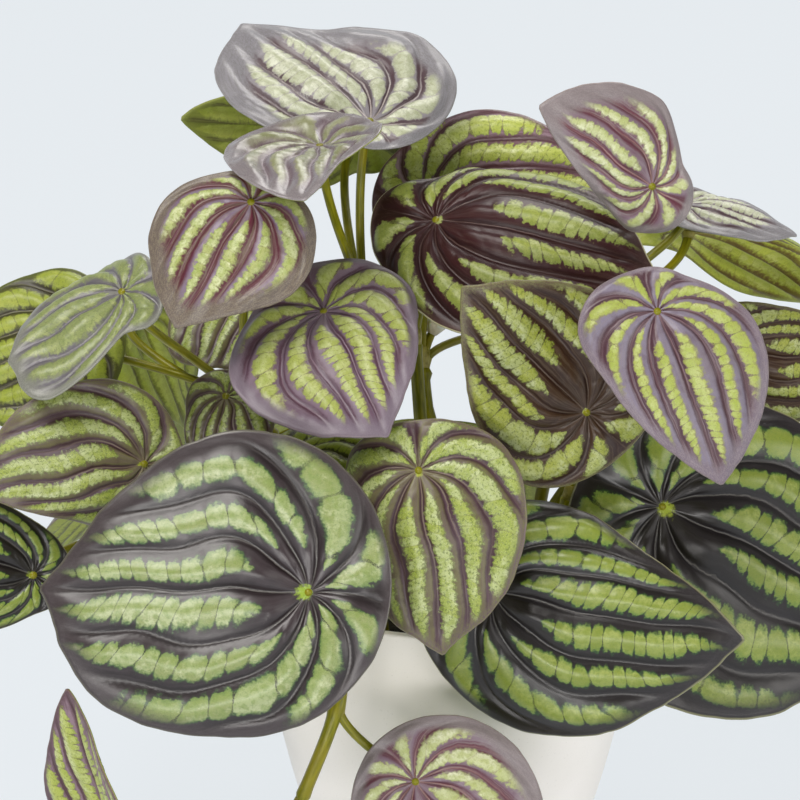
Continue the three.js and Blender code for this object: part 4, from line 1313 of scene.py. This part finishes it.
def add_crumbs(shape, draw, outer):
    """Small angular lumps half sunk in the mound."""
    sides = CRUMBS["sides"]
    turns = np.linspace(0, TAU, sides, endpoint=False)
    rises = np.radians([-50, 0, 50])
    for _ in range(CRUMBS["count"]):
        size = draw.uniform(*CRUMBS["radii"])
        away = (outer - CRUMBS["inset"]) * math.sqrt(draw.uniform(0, 1))
        way = draw.uniform(0, TAU)
        height = fill_height(away / outer) + size * 0.1
        middle = np.array([away * math.cos(way), away * math.sin(way), height])
        rows = []
        for rise in rises:
            radius = size * math.cos(rise) * draw.uniform(0.7, 1.2, sides)
            height = size * (math.sin(rise) * 0.9 + draw.uniform(-0.15, 0.15, sides))
            rows.append(round_points(radius, turns, height))
        shape.add_closed_rows(middle + np.array(rows))


# Floor, light and camera

# The sheet's front edge, where its bend starts, the bend's radius, its height, half its width and how far
# it lies under the pot
SHEET = {"near": -12000, "far": 2600, "bend": 900, "height": 2600, "half": 12000, "below": 0.2}
SHEET_COLOR, SHEET_GLOW = "e5eaee", 0.92

# Area lights: place, what they point at, width and height in metres, watts and colour
PLANT_MIDDLE, POT_MIDDLE = (0, 0, 0.17), (0, 0, 0.05)
WARM, PALE = (1.0, 0.97, 0.93), (1.0, 0.98, 0.95)
LIGHTS = {
    "key": ((-0.7, -0.9, 2.0), PLANT_MIDDLE, (1.3, 1.1), 39, WARM),
    "back": ((0.4, 1.2, 1.8), PLANT_MIDDLE, (1.2, 0.8), 18, PALE),
    "fill_light": ((1.4, -1.3, 0.9), PLANT_MIDDLE, (1.2, 1.2), 6, WARM),
    "low_front": ((-0.3, -1.6, 0.08), POT_MIDDLE, (1.2, 0.4), 14, PALE),
    "low_right": ((1.5, -0.9, 0.25), PLANT_MIDDLE, (1.0, 0.6), 6, PALE),
}
WORLD_COLOR, WORLD_STRENGTH = (1.0, 0.985, 0.96, 1), 0.19


def make_stage():
    """A pale sheet that is floor in front and curves up far behind."""
    far, bend, half = SHEET["far"], SHEET["bend"], SHEET["half"]
    turn = np.radians(np.linspace(0, 90, 16))
    curve = [(far + bend * math.sin(t), bend * (1 - math.cos(t))) for t in turn]
    profile = [(SHEET["near"], 0)] + curve + [(far + bend, SHEET["height"])]
    rows = np.array([[(x, y, z - SHEET["below"]) for x in (-half, half)] for y, z in profile], float)
    shape = Shape()
    first = shape.add_points(rows)
    shape.add_faces(grid_faces(first, len(profile), 2, closed=False)[:, ::-1])
    g = Graph("stage_pale")
    clouds = g.noise(g.place(), 0.6, 1)
    color = g.blend(g.ramp(clouds, 0.3, 0.7), linear("4a4d50"), linear("4b4e51"))
    g.shader.inputs["Emission Color"].default_value = linear(SHEET_COLOR)
    g.shader.inputs["Emission Strength"].default_value = SHEET_GLOW
    sheet = shape.piece("stage_sheet", [g.finish(color, 0.9, 0.0)])


def area_light(name, place, target, size, power, color):
    data = bpy.data.lights.new(name, "AREA")
    data.shape = "RECTANGLE"
    data.size = size[0]
    data.size_y = size[1]
    data.energy = power
    data.color = color
    light = bpy.data.objects.new(name, data)
    light.location = place
    light.rotation_euler = aim(place, target)
    bpy.context.scene.collection.objects.link(light)


def aim(place, target):
    """The turn that points an object's -Z axis from place to target."""
    z = unit(np.subtract(place, target))
    x = unit(np.cross((0, 0, 1.0), z))
    return Matrix(np.stack([x, np.cross(z, x), z], axis=1).tolist()).to_euler()


def make_lights():
    for name, values in LIGHTS.items():
        area_light(name, *values)
    world = bpy.data.worlds.new("studio")
    world.use_nodes = True
    world.node_tree.nodes["Background"].inputs[0].default_value = WORLD_COLOR
    world.node_tree.nodes["Background"].inputs[1].default_value = WORLD_STRENGTH
    bpy.context.scene.world = world


# The view that fits the photograph: 1.3 m from a point in the middle of the plant, looking down by 20 degrees
VIEW_TARGET = (-17, 0, 180)
VIEW_DISTANCE = 1300
VIEW_DOWN = math.radians(20)
VIEW_LENS, VIEW_SENSOR = 171.05, 36


def make_camera():
    data = bpy.data.cameras.new("camera")
    data.lens = VIEW_LENS
    data.sensor_width = VIEW_SENSOR
    camera = bpy.data.objects.new("camera", data)
    x, y, z = VIEW_TARGET
    away = VIEW_DISTANCE * math.cos(VIEW_DOWN)
    camera.location = (x * MM, (y - away) * MM, (z + VIEW_DISTANCE * math.sin(VIEW_DOWN)) * MM)
    camera.rotation_euler = (math.pi / 2 - VIEW_DOWN, 0, 0)
    bpy.context.scene.collection.objects.link(camera)
    bpy.context.scene.camera = camera


bpy.context.scene.view_settings.view_transform = "Standard"
make_camera()
make_lights()
make_stage()
make_pot()
make_fill()
stem_materials = [stem_material(), joint_material()]
for stem_name in STEMS:
    make_stem(stem_name, stem_materials)
for leaf_number, leaf_name in enumerate(LEAVES):
    make_leaf(leaf_name, leaf_number)
